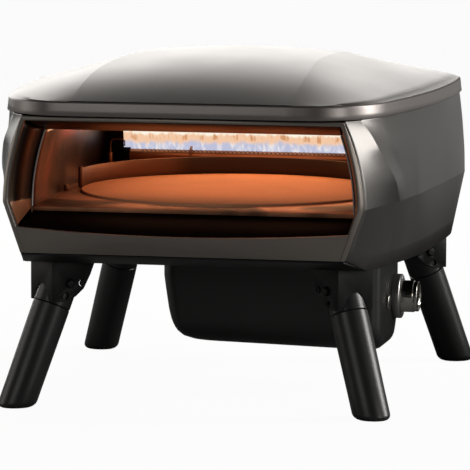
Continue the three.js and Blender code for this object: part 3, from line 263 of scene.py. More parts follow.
class OvenStudioSettings(bpy.types.PropertyGroup):
    """Camera and lights"""

    camera: bpy.props.FloatVectorProperty(
        name="Camera place",
        description="Camera from the middle of the stone's top",
        default=(1.1023, -5.2673, 0.5478),
        size=3,
        unit="LENGTH",
        subtype="TRANSLATION",
    )
    azimuth: bpy.props.FloatProperty(
        name="Azimuth", description="Turn of the view", default=math.radians(11.80), subtype="ANGLE"
    )
    elevation: bpy.props.FloatProperty(
        name="Elevation", description="Height of the view", default=math.radians(6.46), subtype="ANGLE"
    )
    roll: bpy.props.FloatProperty(
        name="Roll", description="Roll of the camera", default=math.radians(0.21), subtype="ANGLE"
    )
    lens: bpy.props.FloatProperty(name="Lens", description="Focal length in mm", default=315.7)
    sky: share("Room light", 0.065, "Light of the room")
    shine: share("Mirrored room", 0.02, "How much of the white backdrop the metal shows")
    fill: share("Filled room", 0.2, "How much the white backdrop fills the shadows")
    front: share("Front light", 6.0, "Power of the light on the left of the camera")
    side: share("Side light", 0.7, "Power of the soft light behind the right side")
    low: share("Low light", 8.5, "Power of the low light on the right")
    back: share("Back light", 50.0, "Power of the wide light behind")
    left: share("Left light", 6.5, "Power of the tall light on the left")
    right: share("Right light", 44.0, "Power of the tall light on the right")
    fire: share("Fire light", 0.25, "Power of the flames' glow")
    oven_glow: share("Chamber light", 0.3, "Power of the warm light under the ceiling")
    glow: share("Flame strength", 1.0, "Brightness of the flames")


SETTINGS = {
    "oven_lid": OvenLidSettings,
    "oven_shell": OvenShellSettings,
    "oven_chamber": OvenChamberSettings,
    "oven_legs": OvenLegSettings,
    "oven_controls": OvenControlSettings,
    "oven_colours": OvenColours,
    "oven_studio": OvenStudioSettings,
}


# Node materials


# A noise or a grain that is the same along each axis
EVEN = (1, 1, 1)


class Value:
    """One output of a node, with sums written as plain arithmetic"""

    def __init__(self, graph, socket):
        self.graph = graph
        self.socket = socket

    def __add__(self, other):
        return self.graph.math("ADD", self, other)

    def __radd__(self, other):
        return self.graph.math("ADD", other, self)

    def __sub__(self, other):
        return self.graph.math("SUBTRACT", self, other)

    def __rsub__(self, other):
        return self.graph.math("SUBTRACT", other, self)

    def __mul__(self, other):
        return self.graph.math("MULTIPLY", self, other)

    def __rmul__(self, other):
        return self.graph.math("MULTIPLY", other, self)

    def __truediv__(self, other):
        return self.graph.math("DIVIDE", self, other)

    def __rtruediv__(self, other):
        return self.graph.math("DIVIDE", other, self)

    def __pow__(self, other):
        return self.graph.math("POWER", self, other)


class Graph:
    """The node tree of a material or of the world, emptied and built anew"""

    def __init__(self, owner):
        self.owner = owner
        owner.use_nodes = True
        self.tree = owner.node_tree
        self.tree.nodes.clear()

    @functools.cached_property
    def place(self):
        """The place on the object"""
        return self.take("ShaderNodeTexCoord", "Object")

    def node(self, kind, settings=None, inputs=None):
        """A node of a kind, with its settings and then its inputs"""
        node = self.tree.nodes.new(kind)
        for name, value in (settings or {}).items():
            setattr(node, name, value)
        for key, value in (inputs or {}).items():
            if isinstance(value, Value):
                self.tree.links.new(value.socket, node.inputs[key])
            else:
                node.inputs[key].default_value = value
        return node

    def take(self, kind, output, settings=None, inputs=None):
        """One output of a new node"""
        return Value(self, self.node(kind, settings, inputs).outputs[output])

    def math(self, operation, *values):
        return self.take("ShaderNodeMath", 0, {"operation": operation}, dict(enumerate(values)))

    def clamp(self, value, low=0.0, high=1.0):
        return self.take("ShaderNodeClamp", 0, None, {0: value, 1: low, 2: high})

    def ramp(self, value, low, high):
        """0 below low, 1 above high, smooth between"""
        settings = {"interpolation_type": "SMOOTHSTEP"}
        return self.take("ShaderNodeMapRange", 0, settings, {0: value, 1: low, 2: high, 3: 0.0, 4: 1.0})

    def mix(self, factor, first, second):
        settings = {"data_type": "RGBA"}
        inputs = {0: factor, 6: rgba(first), 7: rgba(second)}
        return self.take("ShaderNodeMix", 2, settings, inputs)

    def noise(self, scale, detail, roughness, stretch=EVEN, distortion=0.0):
        place = self.take("ShaderNodeVectorMath", 0, {"operation": "MULTIPLY"}, {0: self.place, 1: stretch})
        inputs = {
            "Vector": place,
            "Scale": scale,
            "Detail": detail,
            "Roughness": roughness,
            "Distortion": distortion,
        }
        return self.take("ShaderNodeTexNoise", 0, None, inputs)

    def spot(self, middle, reach, core=0.1):
        """1 at a place, falling to 0 at a reach along each axis; a reach of None is endless"""
        total = 0.0
        for name, at, far in zip("XYZ", middle, reach):
            if far is not None:
                part = (self.axis(name) - at) * (1 / far)
                total = part * part + total
        return self.ramp(total, 1.0, core)

    def axis(self, name):
        return self.take("ShaderNodeSeparateXYZ", name, None, {0: self.place})

    def bump(self, height, strength, distance):
        inputs = {"Strength": strength, "Distance": distance, "Height": height}
        return self.take("ShaderNodeBump", 0, None, inputs)

    def close(self, shader, kind="ShaderNodeOutputMaterial"):
        self.node(kind, None, {"Surface": shader})

    def principled(self, inputs):
        """Ends the tree in the one shader that most finishes use"""
        self.close(self.take("ShaderNodeBsdfPrincipled", 0, None, inputs))


def rgba(value):
    return value if isinstance(value, Value) else (*value, 1.0)


def finish_graph(name):
    """The empty tree of a new finish"""
    return Graph(bpy.data.materials.new(f"{name} finish"))


# The mean of a noise, which leaves a colour as it is
MEAN = 0.5
# Noises of the finishes: scale, detail, roughness, stretch, distortion
SLOW_NOISE = (7.0, 3.0, 0.5)
TINT_NOISE = (9.0, 3.0, 0.5, (1, 1, 0.7), 0.6)
SOOT_NOISE = (5.0, 4.0, 0.6)
SPECK_NOISE = (520.0, 2.0, 0.6)
CLOUD_NOISE = (14.0, 4.0, 0.6)
TOAST_NOISE = (4.2, 3.0, 0.5, EVEN, 0.4)
TONGUE_NOISE = (38.0, 3.0, 0.6, (1.0, 0.4, 0.3), 0.4)
STREAK_NOISE = (70.0, 3.0, 0.6, (1.0, 0.4, 0.14))
WISP_NOISE = (110.0, 3.0, 0.6, (1.0, 0.4, 0.5), 0.6)
# Detail of the fine grain, how much it and the slow noise change the gloss, and its relief
GRAIN_DETAIL = (3.0, 0.6)
SLOW_GLOSS = 0.12
FINE_GLOSS = 0.10
GRAIN_BUMP = 0.5
# Where the tint, the soot, the stone's flecks and its toasted patches set in and are full
TINT_RANGE = (0.42, 0.66)
SOOT_RANGE = (0.48, 0.74)
SPECK_RANGE = (0.52, 0.70)
TOAST_RANGE = (0.46, 0.7)
# How strong they are, and how much of a patch of painted shade and reflection shows where there is no tint
SPECK_SHARE = 0.6
TOAST_SHARE = 0.35
PATCH_SHARE = 0.7
# Scale and detail of the brushed lines of steel, and how much they and the tint change its gloss
BRUSH_SCALE = 420.0
BRUSH_DETAIL = (2.0, 0.5)
BRUSH_GLOSS = 0.12
TINT_GLOSS = 0.08
# Strength and distance of the relief of brushed steel and of the stone
BRUSH_BUMP = (0.25, 0.0002)
STONE_BUMP = (0.35, 0.0003)
# How metallic heated steel is, and how much of that its part with the fire's painted reflection loses, up to a
# crisp edge
STEEL_METALLIC = 0.85
LIT_METALLIC_LOSS = 0.8
LIT_CORE = 0.97
SOOT_TONE = (0.035, 0.022, 0.016)
SOOT_SHARE = 0.55
# Colour of the thin pale wisps at the foot of the flames
WISP_TONE = (0.86, 0.84, 0.86)
# Where a colour of the flames sets in and where it is full
WISP_RANGE = (0.42, 0.7)
CREAM_RANGE = (0.08, 0.36)
ORANGE_FROM = (0.3, 0.45)
ORANGE_UNTIL = (0.9, 0.62)
WHITE_RANGE = (0.6, 0.82)
STREAK_RANGE = (0.5, 0.62)
# Heights above the colours' top where the flames are gone and where they are still full
FLAME_GONE = 0.024
FLAME_FULL = 0.008
FLAME_FRAY = 0.02
FLAME_COVER = 0.96


def paint(name, base, metallic, roughness, grain, mottle, relief=0.0, stretch=EVEN, specular=0.5):
    """A finish with a fine grain and a slow change of tone and gloss"""
    graph = finish_graph(name)
    fine = graph.noise(grain, *GRAIN_DETAIL, stretch)
    slow = graph.noise(*SLOW_NOISE)
    tone = 1.0 + (slow - MEAN) * (2 * mottle) + (fine - MEAN) * mottle
    shade = graph.take("ShaderNodeVectorMath", 0, {"operation": "SCALE"}, {0: base, "Scale": tone})
    gloss = graph.clamp(roughness + (slow - MEAN) * SLOW_GLOSS + (fine - MEAN) * FINE_GLOSS)
    inputs = {"Base Color": shade, "Metallic": metallic, "Roughness": gloss, "Specular IOR Level": specular}
    if relief > 0:
        inputs["Normal"] = graph.bump(fine, GRAIN_BUMP, relief)
    graph.principled(inputs)


def heated_steel(name, colours, base, tint, streak, patches=(), painted_firelight=None, polish=0.27):
    """Steel that the fire has tinted, with patches of (middle, reach, colour) of painted shade and reflection, and
    a dull part with the fire's reflection painted in
    """
    graph = finish_graph(name)
    patch = graph.ramp(graph.noise(*TINT_NOISE), *TINT_RANGE)
    soot = graph.ramp(graph.noise(*SOOT_NOISE), *SOOT_RANGE)
    brush = graph.noise(BRUSH_SCALE, *BRUSH_DETAIL, streak)
    shade = graph.mix(patch, getattr(colours, base), getattr(colours, tint))
    shade = graph.mix(soot * SOOT_SHARE, shade, SOOT_TONE)
    # Patches at set places: painted shade with soot, and painted reflections
    for middle, reach, tone in patches:
        shown = graph.spot(middle, reach) * (PATCH_SHARE + patch * (1 - PATCH_SHARE))
        shade = graph.mix(shown, shade, getattr(colours, tone))
    metal = STEEL_METALLIC
    # The part with the fire's reflection painted in, less metallic there
    if painted_firelight:
        middle, reach, tone = painted_firelight
        mask = graph.spot(middle, reach, LIT_CORE)
        shade = graph.mix(mask, shade, getattr(colours, tone))
        metal = STEEL_METALLIC - mask * LIT_METALLIC_LOSS
    inputs = {
        "Base Color": shade,
        "Metallic": metal,
        "Roughness": graph.clamp(polish + patch * TINT_GLOSS + brush * BRUSH_GLOSS),
        "Normal": graph.bump(brush, *BRUSH_BUMP),
    }
    graph.principled(inputs)


def fired_stone(name, base, fleck):
    """Dull fired clay with fine flecks and broad toasted patches"""
    graph = finish_graph(name)
    grain = graph.ramp(graph.noise(*SPECK_NOISE), *SPECK_RANGE)
    cloud = graph.noise(*CLOUD_NOISE)
    toast = graph.ramp(graph.noise(*TOAST_NOISE), *TOAST_RANGE)
    shade = graph.mix(grain * SPECK_SHARE, base, fleck)
    shade = graph.mix(toast * TOAST_SHARE, shade, fleck)
    inputs = {
        "Base Color": shade,
        "Roughness": graph.clamp(0.8 + (cloud - MEAN) * 0.2),
        "Specular IOR Level": 0.15,
        "Normal": graph.bump(grain + cloud * 0.5, *STONE_BUMP),
    }
    graph.principled(inputs)


def flames(name, colours, low, high, strength):
    """Fire that is pale blue at its foot and cream above, with orange streaks between"""
    graph = finish_graph(name)
    rise = graph.ramp(graph.axis("Z"), low, high)
    tongue = graph.noise(*TONGUE_NOISE)
    streak = graph.ramp(graph.noise(*STREAK_NOISE), *STREAK_RANGE)
    thin = graph.noise(*WISP_NOISE)
    wave = rise + (tongue - MEAN) * 0.5 + (thin - MEAN) * 0.5
    shade = graph.mix(graph.ramp(thin, *WISP_RANGE), colours.flame_blue, WISP_TONE)
    shade = graph.mix(graph.ramp(wave, *CREAM_RANGE), shade, colours.flame_cream)
    middle = graph.ramp(wave, *ORANGE_FROM) * graph.ramp(wave, *ORANGE_UNTIL)
    shade = graph.mix(streak * middle * 0.9, shade, colours.flame_orange)
    shade = graph.mix(graph.ramp(wave, *WHITE_RANGE), shade, colours.flame_white)
    height = graph.axis("Z") + (tongue - MEAN) * FLAME_FRAY
    hold = graph.ramp(height, high + FLAME_GONE, high + FLAME_FULL)
    fire = graph.take("ShaderNodeEmission", 0, None, {"Color": shade, "Strength": strength})
    clear = graph.take("ShaderNodeBsdfTransparent", 0)
    graph.close(graph.take("ShaderNodeMixShader", 0, None, {0: hold * FLAME_COVER, 1: clear, 2: fire}))


# Plain finishes: colour, metallic, roughness, grain, mottle, relief, stretch, specular
PAINTS = {
    "lid_paint": ("lid", 0.8, 0.36, 1400.0, 0.05),
    "shell_paint": ("shell", 0.8, 0.33, 1400.0, 0.07),
    "frame_paint": ("trim", 0.75, 0.33, 260.0, 0.10, 0.0, (0.12, 1.0, 1.0)),
    "black_steel": ("dark", 0.0, 0.42, 700.0, 0.15, 0.0, EVEN, 0.2),
    "soot": ("black", 0.0, 0.6, 700.0, 0.15, 0.0, EVEN, 0.04),
    "ceramic": ("ceramic", 0.0, 0.5, 300.0, 0.04),
    "plain_steel": ("steel", 0.9, 0.32, 500.0, 0.08),
    "black_plastic": ("plastic", 0.0, 0.36, 900.0, 0.2, 0.00012),
    "leg_plastic": ("leg", 0.0, 0.33, 1100.0, 0.2, 0.00012),
    "chrome": ("chrome", 1.0, 0.16, 600.0, 0.03),
    "brass": ("brass", 0.95, 0.3, 500.0, 0.08),
}
# Streaks of steel that was brushed upwards or from side to side
UPRIGHT = (1.0, 1.0, 0.04)
LEVEL = (0.05, 1.0, 1.0)
# Heated steel: its colours, streaks, patches of (middle, reach, colour) of painted shade and reflection, part with
# the fire's painted reflection, and gloss
STEELS = {
    "liner_steel": {
        "base": "liner",
        "tint": "tint",
        "streak": UPRIGHT,
        "patches": (
            # Two darker bands, painted shade together with soot
            ((0, -0.06, 0.285), (None, 0.09, 0.05), "soot"),
            ((0, 0.18, 0.29), (None, 0.2, 0.06), "soot"),
            # Painted pink reflection high on the liner
            ((0, 0.0, 0.35), (None, 0.15, 0.028), "painted_pink_reflection"),
        ),
    },
    "jamb": {
        "base": "jamb",
        "tint": "liner",
        "streak": UPRIGHT,
        # The fire's reflection painted on the jambs' lower part, which is less metallic there
        "painted_firelight": ((0, 0, 0.2), (None, None, 0.0685), "painted_firelight"),
    },
    "guard": {
        "base": "guard",
        "tint": "jamb",
        "streak": LEVEL,
        # The fire's reflection painted on the guard's left part
        "patches": (((-0.2, 0.0, 0.27), (0.11, None, None), "painted_fire_reflection"),),
        "polish": 0.4,
    },
    "tube": {"base": "copper", "tint": "floor", "streak": LEVEL},
    "floor_steel": {"base": "floor", "tint": "liner", "streak": LEVEL, "polish": 0.5},
}


def make_finishes():
    colours = bpy.context.scene.oven_colours
    for name, (tone, *rest) in PAINTS.items():
        paint(name, getattr(colours, tone), *rest)
    for name, options in STEELS.items():
        heated_steel(name, colours, **options)
    fired_stone("stone", colours.stone, colours.fleck)


# Mesh helpers


def centre():
    """The middle of the stone's top, where plan and heights are measured from"""
    low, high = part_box("pizza_stone")
    return Vector(((low.x + high.x) / 2, (low.y + high.y) / 2, high.z))


# Folds beyond this many degrees are crisp, or none but the marked ones
CRISP = 32
ROUND = 180


def piece(name, mesh, slot, body=BODY, replaced=(), crisp=CRISP, material=None):
    """A finished piece from a bmesh: smooth, with crisp folds, riding on a body"""
    limit = math.radians(crisp)
    for face in mesh.faces:
        face.smooth = True
    for edge in mesh.edges:
        edge.smooth = not (edge.seam or (edge.is_manifold and edge.calc_face_angle(0) > limit))
        edge.seam = False
    data = bpy.data.meshes.new(name)
    mesh.to_mesh(data)
    mesh.free()
    data.materials.append(bpy.data.materials[f"{material or slot} finish"])
    thing = placed(name, data)
    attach(thing, body)
    if replaced:
        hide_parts(*replaced)
    return thing


def outward(mesh):
    bmesh.ops.remove_doubles(mesh, verts=mesh.verts, dist=MERGE)
    bmesh.ops.recalc_face_normals(mesh, faces=mesh.faces)


def rounded(mesh, edges, width, segments=2):
    bmesh.ops.bevel(
        mesh,
        geom=edges,
        offset=width,
        offset_type="OFFSET",
        segments=segments,
        profile=0.5,
        affect="EDGES",
        clamp_overlap=True,
        material=-1,
    )


def sharp_edges(mesh, angle):
    return [e for e in mesh.edges if e.is_manifold and e.calc_face_angle(0) > angle]


def refined(node, width, angle, segments=2):
    """A copy of a CAD piece, merged, with its folds rounded"""
    mesh = bmesh.new()
    mesh.from_mesh(frame["nodes"][node].data)
    bmesh.ops.remove_doubles(mesh, verts=mesh.verts, dist=MERGE)
    bmesh.ops.dissolve_limit(mesh, angle_limit=FLAT_ANGLE, verts=mesh.verts[:], edges=mesh.edges[:])
    bmesh.ops.recalc_face_normals(mesh, faces=mesh.faces)
    rounded(mesh, sharp_edges(mesh, angle), width, segments)
    return mesh


def spun(profile, steps):
    """A solid turned about Z from its profile of (radius, height) points"""
    mesh = bmesh.new()
    ring = [mesh.verts.new((r, 0, z)) for r, z in profile]
    edges = [mesh.edges.new(pair) for pair in zip(ring, ring[1:])]
    bmesh.ops.spin(
        mesh,
        geom=ring + edges,
        cent=(0, 0, 0),
        axis=(0, 0, 1),
        angle=math.tau,
        steps=steps,
        use_merge=True,
    )
    outward(mesh)
    return mesh


def aimed(mesh, origin, direction):
    """Turns a mesh so that its Z runs along a direction, and sets it at a place"""
    turn = Vector(direction).to_track_quat("Z", "Y").to_matrix().to_4x4()
    mesh.transform(Matrix.Translation(origin) @ turn)
    return mesh


def added(mesh, other):
    """Joins a second bmesh into the first"""
    data = bpy.data.meshes.new("part")
    other.to_mesh(data)
    other.free()
    mesh.from_mesh(data)
    bpy.data.meshes.remove(data)
    return mesh


def arc(radius, x, z, start, end, steps):
    """Points of an arc round (x, z), angles in degrees"""
    turn = [math.radians(start + (end - start) * k / steps) for k in range(steps + 1)]
    return [(x + radius * math.cos(a), z + radius * math.sin(a)) for a in turn]


def same(place, digits=SAME_DIGITS):
    """A key that two places at the same spot share"""
    return tuple(round(c, digits) for c in place)


def grown_ring(mesh, ring, edges):
    """Extrudes edges once: the new vertices in the old ring's order, and the new edges"""
    grown = bmesh.ops.extrude_edge_only(mesh, edges=edges)["geom"]
    fresh = {same(g.co): g for g in grown if isinstance(g, bmesh.types.BMVert)}
    return [fresh[same(v.co)] for v in ring], [g for g in grown if isinstance(g, bmesh.types.BMEdge)]


def swept(points, radius, sides):
    """A round bead along a line of points, with flat ends"""
    points = [Vector(p) for p in points]
    mesh = bmesh.new()
    bmesh.ops.create_circle(mesh, cap_ends=False, segments=sides, radius=radius)
    round_line = [v.co.copy() for v in mesh.verts]
    ring, edges = mesh.verts[:], mesh.edges[:]
    first = ring
    for k, point in enumerate(points):
        before = (point - points[k - 1]).normalized() if k else Vector()
        after = (points[k + 1] - point).normalized() if k + 1 < len(points) else Vector()
        turn = (before + after).to_track_quat("Z", "Y").to_matrix()
        if k:
            ring, edges = grown_ring(mesh, ring, edges)
        for vert, place in zip(ring, round_line):
            vert.co = point + turn @ place
    for end in (first, ring):
        bmesh.ops.contextual_create(mesh, geom=end)
    bmesh.ops.recalc_face_normals(mesh, faces=mesh.faces)
    return mesh


def walled(thing, thickness):
    """Gives a skin its sheet's thickness, inwards from its outer face"""
    wall = thing.modifiers.new("Wall", "SOLIDIFY")
    wall.thickness = thickness
    wall.offset = -1
    return wall


def sheet(name, node, mesh, slot, crisp, thickness, finish=None):
    """A sheet part from the skin of its outer face, in place of a node"""
    thing = piece(name, mesh, slot, BODY, (node,), crisp, finish)
    walled(thing, thickness)
    return thing


def placed(name, data):
    """A new object in the scene"""
    thing = bpy.data.objects.new(name, data)
    bpy.context.scene.collection.objects.link(thing)
    return thing


def lerp(a, b, t):
    return a + (b - a) * t


def middle_of(low, high):
    return (low + high) / 2


# Shape of a screw's head, as shares of its rise and its radius
SCREW_EDGE = 0.4
SCREW_SOCKET = (0.55, 0.5)
SCREW_DEPTH = 0.1
SCREW_SIDES = 16


def screw(place, direction, radius, rise):
    """A screw's head with a round socket"""
    edge = rise * SCREW_EDGE
    rim, hole = (radius * part for part in SCREW_SOCKET)
    profile = [(radius, -rise), (radius, rise - edge), (radius - edge, rise), (rim, rise)]
    profile += [(hole, rise * SCREW_DEPTH), (0, rise * SCREW_DEPTH)]
    return aimed(spun(profile, SCREW_SIDES), place, direction)


# Lid


def inset(loop, distance):
    """A closed plan outline moved inwards; it runs anticlockwise"""
    moved = []
    for k, point in enumerate(loop):
        before = (point - loop[k - 1]).normalized()
        after = (loop[(k + 1) % len(loop)] - point).normalized()
        first = Vector((-before.y, before.x))
        second = Vector((-after.y, after.x))
        moved.append(point + (first + second) * (distance / (1 + first.dot(second))))
    return moved


def tangents(points):
    """The slope of a line at each of its points, by the distance run"""
    slopes = []
    for k, point in enumerate(points):
        first = points[max(k - 1, 0)]
        last = points[min(k + 1, len(points) - 1)]
        run = (point - first).length + (last - point).length
        slopes.append((last - first) / max(run, 1e-6))
    return slopes


def along(points, slopes, k, u):
    """A point of the smooth line at share u between its points k and k + 1"""
    a, b = points[k], points[k + 1]
    run = (b - a).length
    u2, u3 = u * u, u * u * u
    return (
        a * (2 * u3 - 3 * u2 + 1)
        + slopes[k] * (run * (u3 - 2 * u2 + u))
        + b * (3 * u2 - 2 * u3)
        + slopes[k + 1] * (run * (u3 - u2))
    )


# Where two creases or rows of the lid run together, their vertices are merged
LID_MERGE = 0.0002
FILLET_STEPS = 5
# A ring part way down the band, as shares of its draft and height, and the small lip at its foot
BAND_MIDDLE = (0.5, 0.6)
BAND_LIP = (0.0003, 0.0004)


def lid_rows(spacing):
    """The outline's and the crease's places of every fine row of the lid"""
    low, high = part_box("lid_shell")
    middle = centre()
    half = (high.x - low.x) / 2
    front, rear = middle.y - low.y, high.y - middle.y
    outline, crease = (
        [Vector((q[k] * half, q[k + 1] * (front if q[k + 1] < 0 else rear))) for q in LID_ROW_SHARES]
        for k in (0, 2)
    )
    outline_slopes, crease_slopes = tangents(outline), tangents(crease)
    rows = [(outline[0], crease[0])]
    for k in range(len(outline) - 1):
        run = max((outline[k + 1] - outline[k]).length, (crease[k + 1] - crease[k]).length)
        steps = max(1, round(run / spacing))
        for step in range(1, steps + 1):
            u = step / steps
            rows.append((along(outline, outline_slopes, k, u), along(crease, crease_slopes, k, u)))
    return rows, front, rear


def lid_height(x, y, crease, front, rear, s):
    run = front - s.crest if y < -s.crest else rear + s.crest
    fade = 1 - min(1, abs(y + s.crest) / run) ** s.power
    return fade * (s.rise + s.crown * (1 - (x / crease) ** 2))


def boundary(mesh):
    """The open edge of a mesh as a ring of vertices, anticlockwise from above"""
    edge = next(e for e in mesh.edges if e.is_boundary)
    ring = [edge.verts[0]]
    vert = edge.other_vert(ring[0])
    while vert is not ring[0]:
        ring.append(vert)
        edge = next(e for e in vert.link_edges if e.is_boundary and e is not edge)
        vert = edge.other_vert(vert)
    area = sum(a.co.x * b.co.y - b.co.x * a.co.y for a, b in zip(ring, ring[1:] + ring[:1]))
    return ring if area > 0 else ring[::-1]


def lid_skin(s):
    """The lid's outer face: dome, fillet and band"""
    rows, front, rear = lid_rows(s.spacing)
    columns = s.inner + 2 * s.outer
    mesh = bmesh.new()
    bmesh.ops.create_grid(mesh, x_segments=columns, y_segments=len(rows) - 1, size=1)
    side_start = s.inner / 2
    creases = set()
    for vert in mesh.verts:
        column = round((vert.co.x + 1) / 2 * columns) - columns / 2
        outline, crease = rows[round((vert.co.y + 1) / 2 * (len(rows) - 1))]
        side = math.copysign(1, column)
        if abs(column) <= side_start:
            x, y = crease.x * column / side_start, crease.y
            rise = lid_height(x, y, crease.x, front, rear, s)
        else:
            share_out = (abs(column) - side_start) / s.outer
            x = side * lerp(crease.x, outline.x, share_out)
            y = lerp(crease.y, outline.y, share_out)
            rise = lid_height(crease.x, crease.y, crease.x, front, rear, s) * (1 - share_out)
        if abs(column) == side_start:
            creases.add(vert)
        vert.co = (x, y, rise)
    for edge in mesh.edges:
        edge.seam = creases.issuperset(edge.verts)
    bmesh.ops.remove_doubles(mesh, verts=mesh.verts, dist=LID_MERGE)
    lid_edge(mesh, s)
    return mesh


def lid_edge(mesh, s):
    """Rolls the lid's edge over a fillet into the band"""
    ring = boundary(mesh)
    plan = [v.co.to_2d() for v in ring]
    rings = arc(s.fillet, s.draft + s.fillet, -s.fillet, 90, 180, FILLET_STEPS)[1:]
    draft, band = BAND_MIDDLE
    back, rise = BAND_LIP
    rings += [(s.draft * draft, -s.band * band), (0, rise - s.band), (back, -s.band)]
    for vert, place in zip(ring, inset(plan, s.draft + s.fillet)):
        vert.co = (place.x, place.y, 0)
    for distance, height in rings:
        ring, _ = grown_ring(mesh, ring, [e for e in mesh.edges if e.is_boundary])
        for vert, place in zip(ring, inset(plan, distance)):
            vert.co = (place.x, place.y, height)


class OVEN_OT_lid(bpy.types.Operator):
    """Builds the lid from the settings"""

    bl_idname = "oven.lid"
    bl_label = "Build lid"

    def execute(self, context):
        s = context.scene.oven_lid
        mesh = lid_skin(s)
        bmesh.ops.recalc_face_normals(mesh, faces=mesh.faces)
        if max(mesh.faces, key=lambda f: f.calc_center_median().z).normal.z < 0:
            bmesh.ops.reverse_faces(mesh, faces=mesh.faces)
        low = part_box("lid_shell")[0]
        mesh.transform(Matrix.Translation((0, centre().y, low.z + s.band)))
        lid = piece("lid", mesh, "lid_paint", replaced=("lid_shell",), crisp=50)
        walled(lid, s.wall).use_even_offset = True
        return {"FINISHED"}


# Sheet parts


FOLDED = {
    "rear_panel": "shell_paint",
    "front_apron": "frame_paint",
    "threshold_panel": "black_steel",
    "lintel": "liner_steel",
    "liner_back": "liner_steel",
    "liner_ceiling": "liner_steel",
    "base_pan": "black_steel",
    "floor_plate": "floor_steel",
}


# The cheek's crease, from the lid down to the waist: share of the way down, along x and along y
CHEEK_SHARES = (
    (0, 0, 0),
    (0.156, 0.293, 0.16),
    (0.349, 0.571, 0.292),
    (0.55, 0.772, 0.557),
    (0.747, 0.926, 0.82),
    (1, 1, 1),
)
# How far the crease stands out at a share of the way down, as a share of the largest
CREASE_SHARES = ((0, 0.2), (0.2, 0.48), (0.4, 0.62), (0.58, 0.88), (0.72, 0.96), (0.86, 0.7), (1, 0.27))
# How much of that the line's next two places stand out
CREASE_FOLLOW = (0.45, 0.15)
# Place of the lowest level above the waist, as shares along x and y
LAST_LEVEL = (0.996, 0.99)
# Shares of the way from the waist to the foot at which more rows run
FOOT_LEVELS = (0.25, 0.5, 0.75, 1)
# Fine columns from the frame to the bend and on to the crease, the crease's column being the last
BEND_STEPS = 6
FOLD_COLUMN = 2 * BEND_STEPS + 1
# Small gaps and laps between sheets
SHEET_LAP = 0.0003
TUCK_LAP = 0.001
# How finely the fold's places are compared, and how level the waist's row is
FOLD_DIGITS = 5
LEVEL_GAP = 0.0001
# The waist and the foot of the side from the cheek to the rear, as x and y shares
WAIST_SHARES = (
    (0.918, -1), (0.929, -0.879), (0.938, -0.769), (0.949, -0.632), (0.959, -0.516),
    (0.969, -0.143), (0.981, 0.176), (0.994, 0.441), (1, 0.678), (0.985, 0.786),
    (0.923, 0.875), (0.847, 0.963), (0.803, 0.99), (0.723, 1),
)
FOOT_SHARES = (
    (0.904, -1), (0.919, -0.887), (0.931, -0.784), (0.95, -0.644), (0.965, -0.49),
    (0.988, -0.18), (0.997, 0.106), (1, 0.389), (0.996, 0.654), (0.977, 0.784),
    (0.927, 0.876), (0.862, 0.961), (0.815, 0.989), (0.731, 1),
)
# The liner's side from the mouth to the rear: share of the run, share of the widening
LINER_SHARES = ((0, 0), (0.2, 0.16), (0.4, 0.45), (0.6, 0.64), (0.8, 0.84), (1, 1))


def plan_line(shares, half, front, rear, height):
    """A line of places on the right-hand side, at one height"""
    return [Vector((x * half, y * (front if y < 0 else rear), height)) for x, y in shares]


def top_line(count, distance, height):
    """The side's top line, which follows the lid's outline inside its band"""
    low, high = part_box("lid_shell")
    middle = centre()
    right = plan_line([q[:2] for q in LID_ROW_SHARES], high.x, middle.y - low.y, high.y - middle.y, 0)
    loop = [p.to_2d() for p in right] + [Vector((-p.x, p.y)) for p in reversed(right)]
    moved = inset(loop, distance)[:len(right)]
    return [Vector((p.x, p.y, height)) for p in moved[-1 - count:-1]]


def smoothed(table, place):
    """The value at a place of a table of (place, value), along a smooth line"""
    points = [Vector(entry) for entry in table]
    slopes = tangents(points)
    for k, (near, far) in enumerate(zip(points, points[1:])):
        if place <= far.x:
            return along(points, slopes, k, (place - near.x) / (far.x - near.x)).y
    return points[-1].y


def side_rows(s):
    """Rows of places from the lid down to the foot, each from the frame to the rear"""
    middle = centre()
    frame_low, frame_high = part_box("front_frame")
    panel_low, panel_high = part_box("side_panel_right")
    foot, waist_z = panel_low.z, waist_height(s)
    front = frame_high.y + SHEET_LAP - middle.y
    waist = plan_line(WAIST_SHARES, s.waist_half, s.waist_front, s.waist_rear, waist_z)
    ground = plan_line(FOOT_SHARES, s.foot_half, s.foot_front, s.foot_rear, foot)
    top = top_line(len(waist), s.tuck_inset, frame_high.z)
    shares = [Vector(row) for row in CHEEK_SHARES]
    slopes = tangents(shares)
    levels = [
        along(shares, slopes, k, step / s.levels)
        for k in range(len(shares) - 1)
        for step in range(s.levels)
    ]
    levels += [Vector((1 - s.crease_width / (frame_high.z - waist_z), *LAST_LEVEL)), Vector((1, 1, 1))]
    rows = []
    for down, out, back in levels:
        height = lerp(frame_high.z, waist_z, down)
        line = [Vector((lerp(p.x, q.x, out), lerp(p.y, q.y, back), height)) for p, q in zip(top, waist)]
        push = s.crease_push * smoothed(CREASE_SHARES, down)
        line[0] += Vector((push, -push * s.crease_lead, 0))
        for place, follow in zip(line[1:], CREASE_FOLLOW):
            place.x += push * follow
        edge = Vector((frame_half(height, s), front, height))
        rows.append([edge, (edge + line[0]) / 2, *line])
    low_edge = Vector((s.frame_foot, front, frame_low.z))
    bend = Vector((ground[0].x * s.bend_out, lerp(ground[0].y, frame_low.y - middle.y, s.bend_back), foot))
    last = [low_edge, bend, *ground]
    for down in (s.crease_width / s.waist_rise, *FOOT_LEVELS):
        rows.append([p.lerp(q, down) for p, q in zip(rows[len(levels) - 1], last)])
    rises = [TUCK_LAP] * 3 + [panel_high.z - frame_high.z] * (len(rows[0]) - 3)
    return [[p + Vector((0, 0, rise)) for p, rise in zip(rows[0], rises)], *rows]


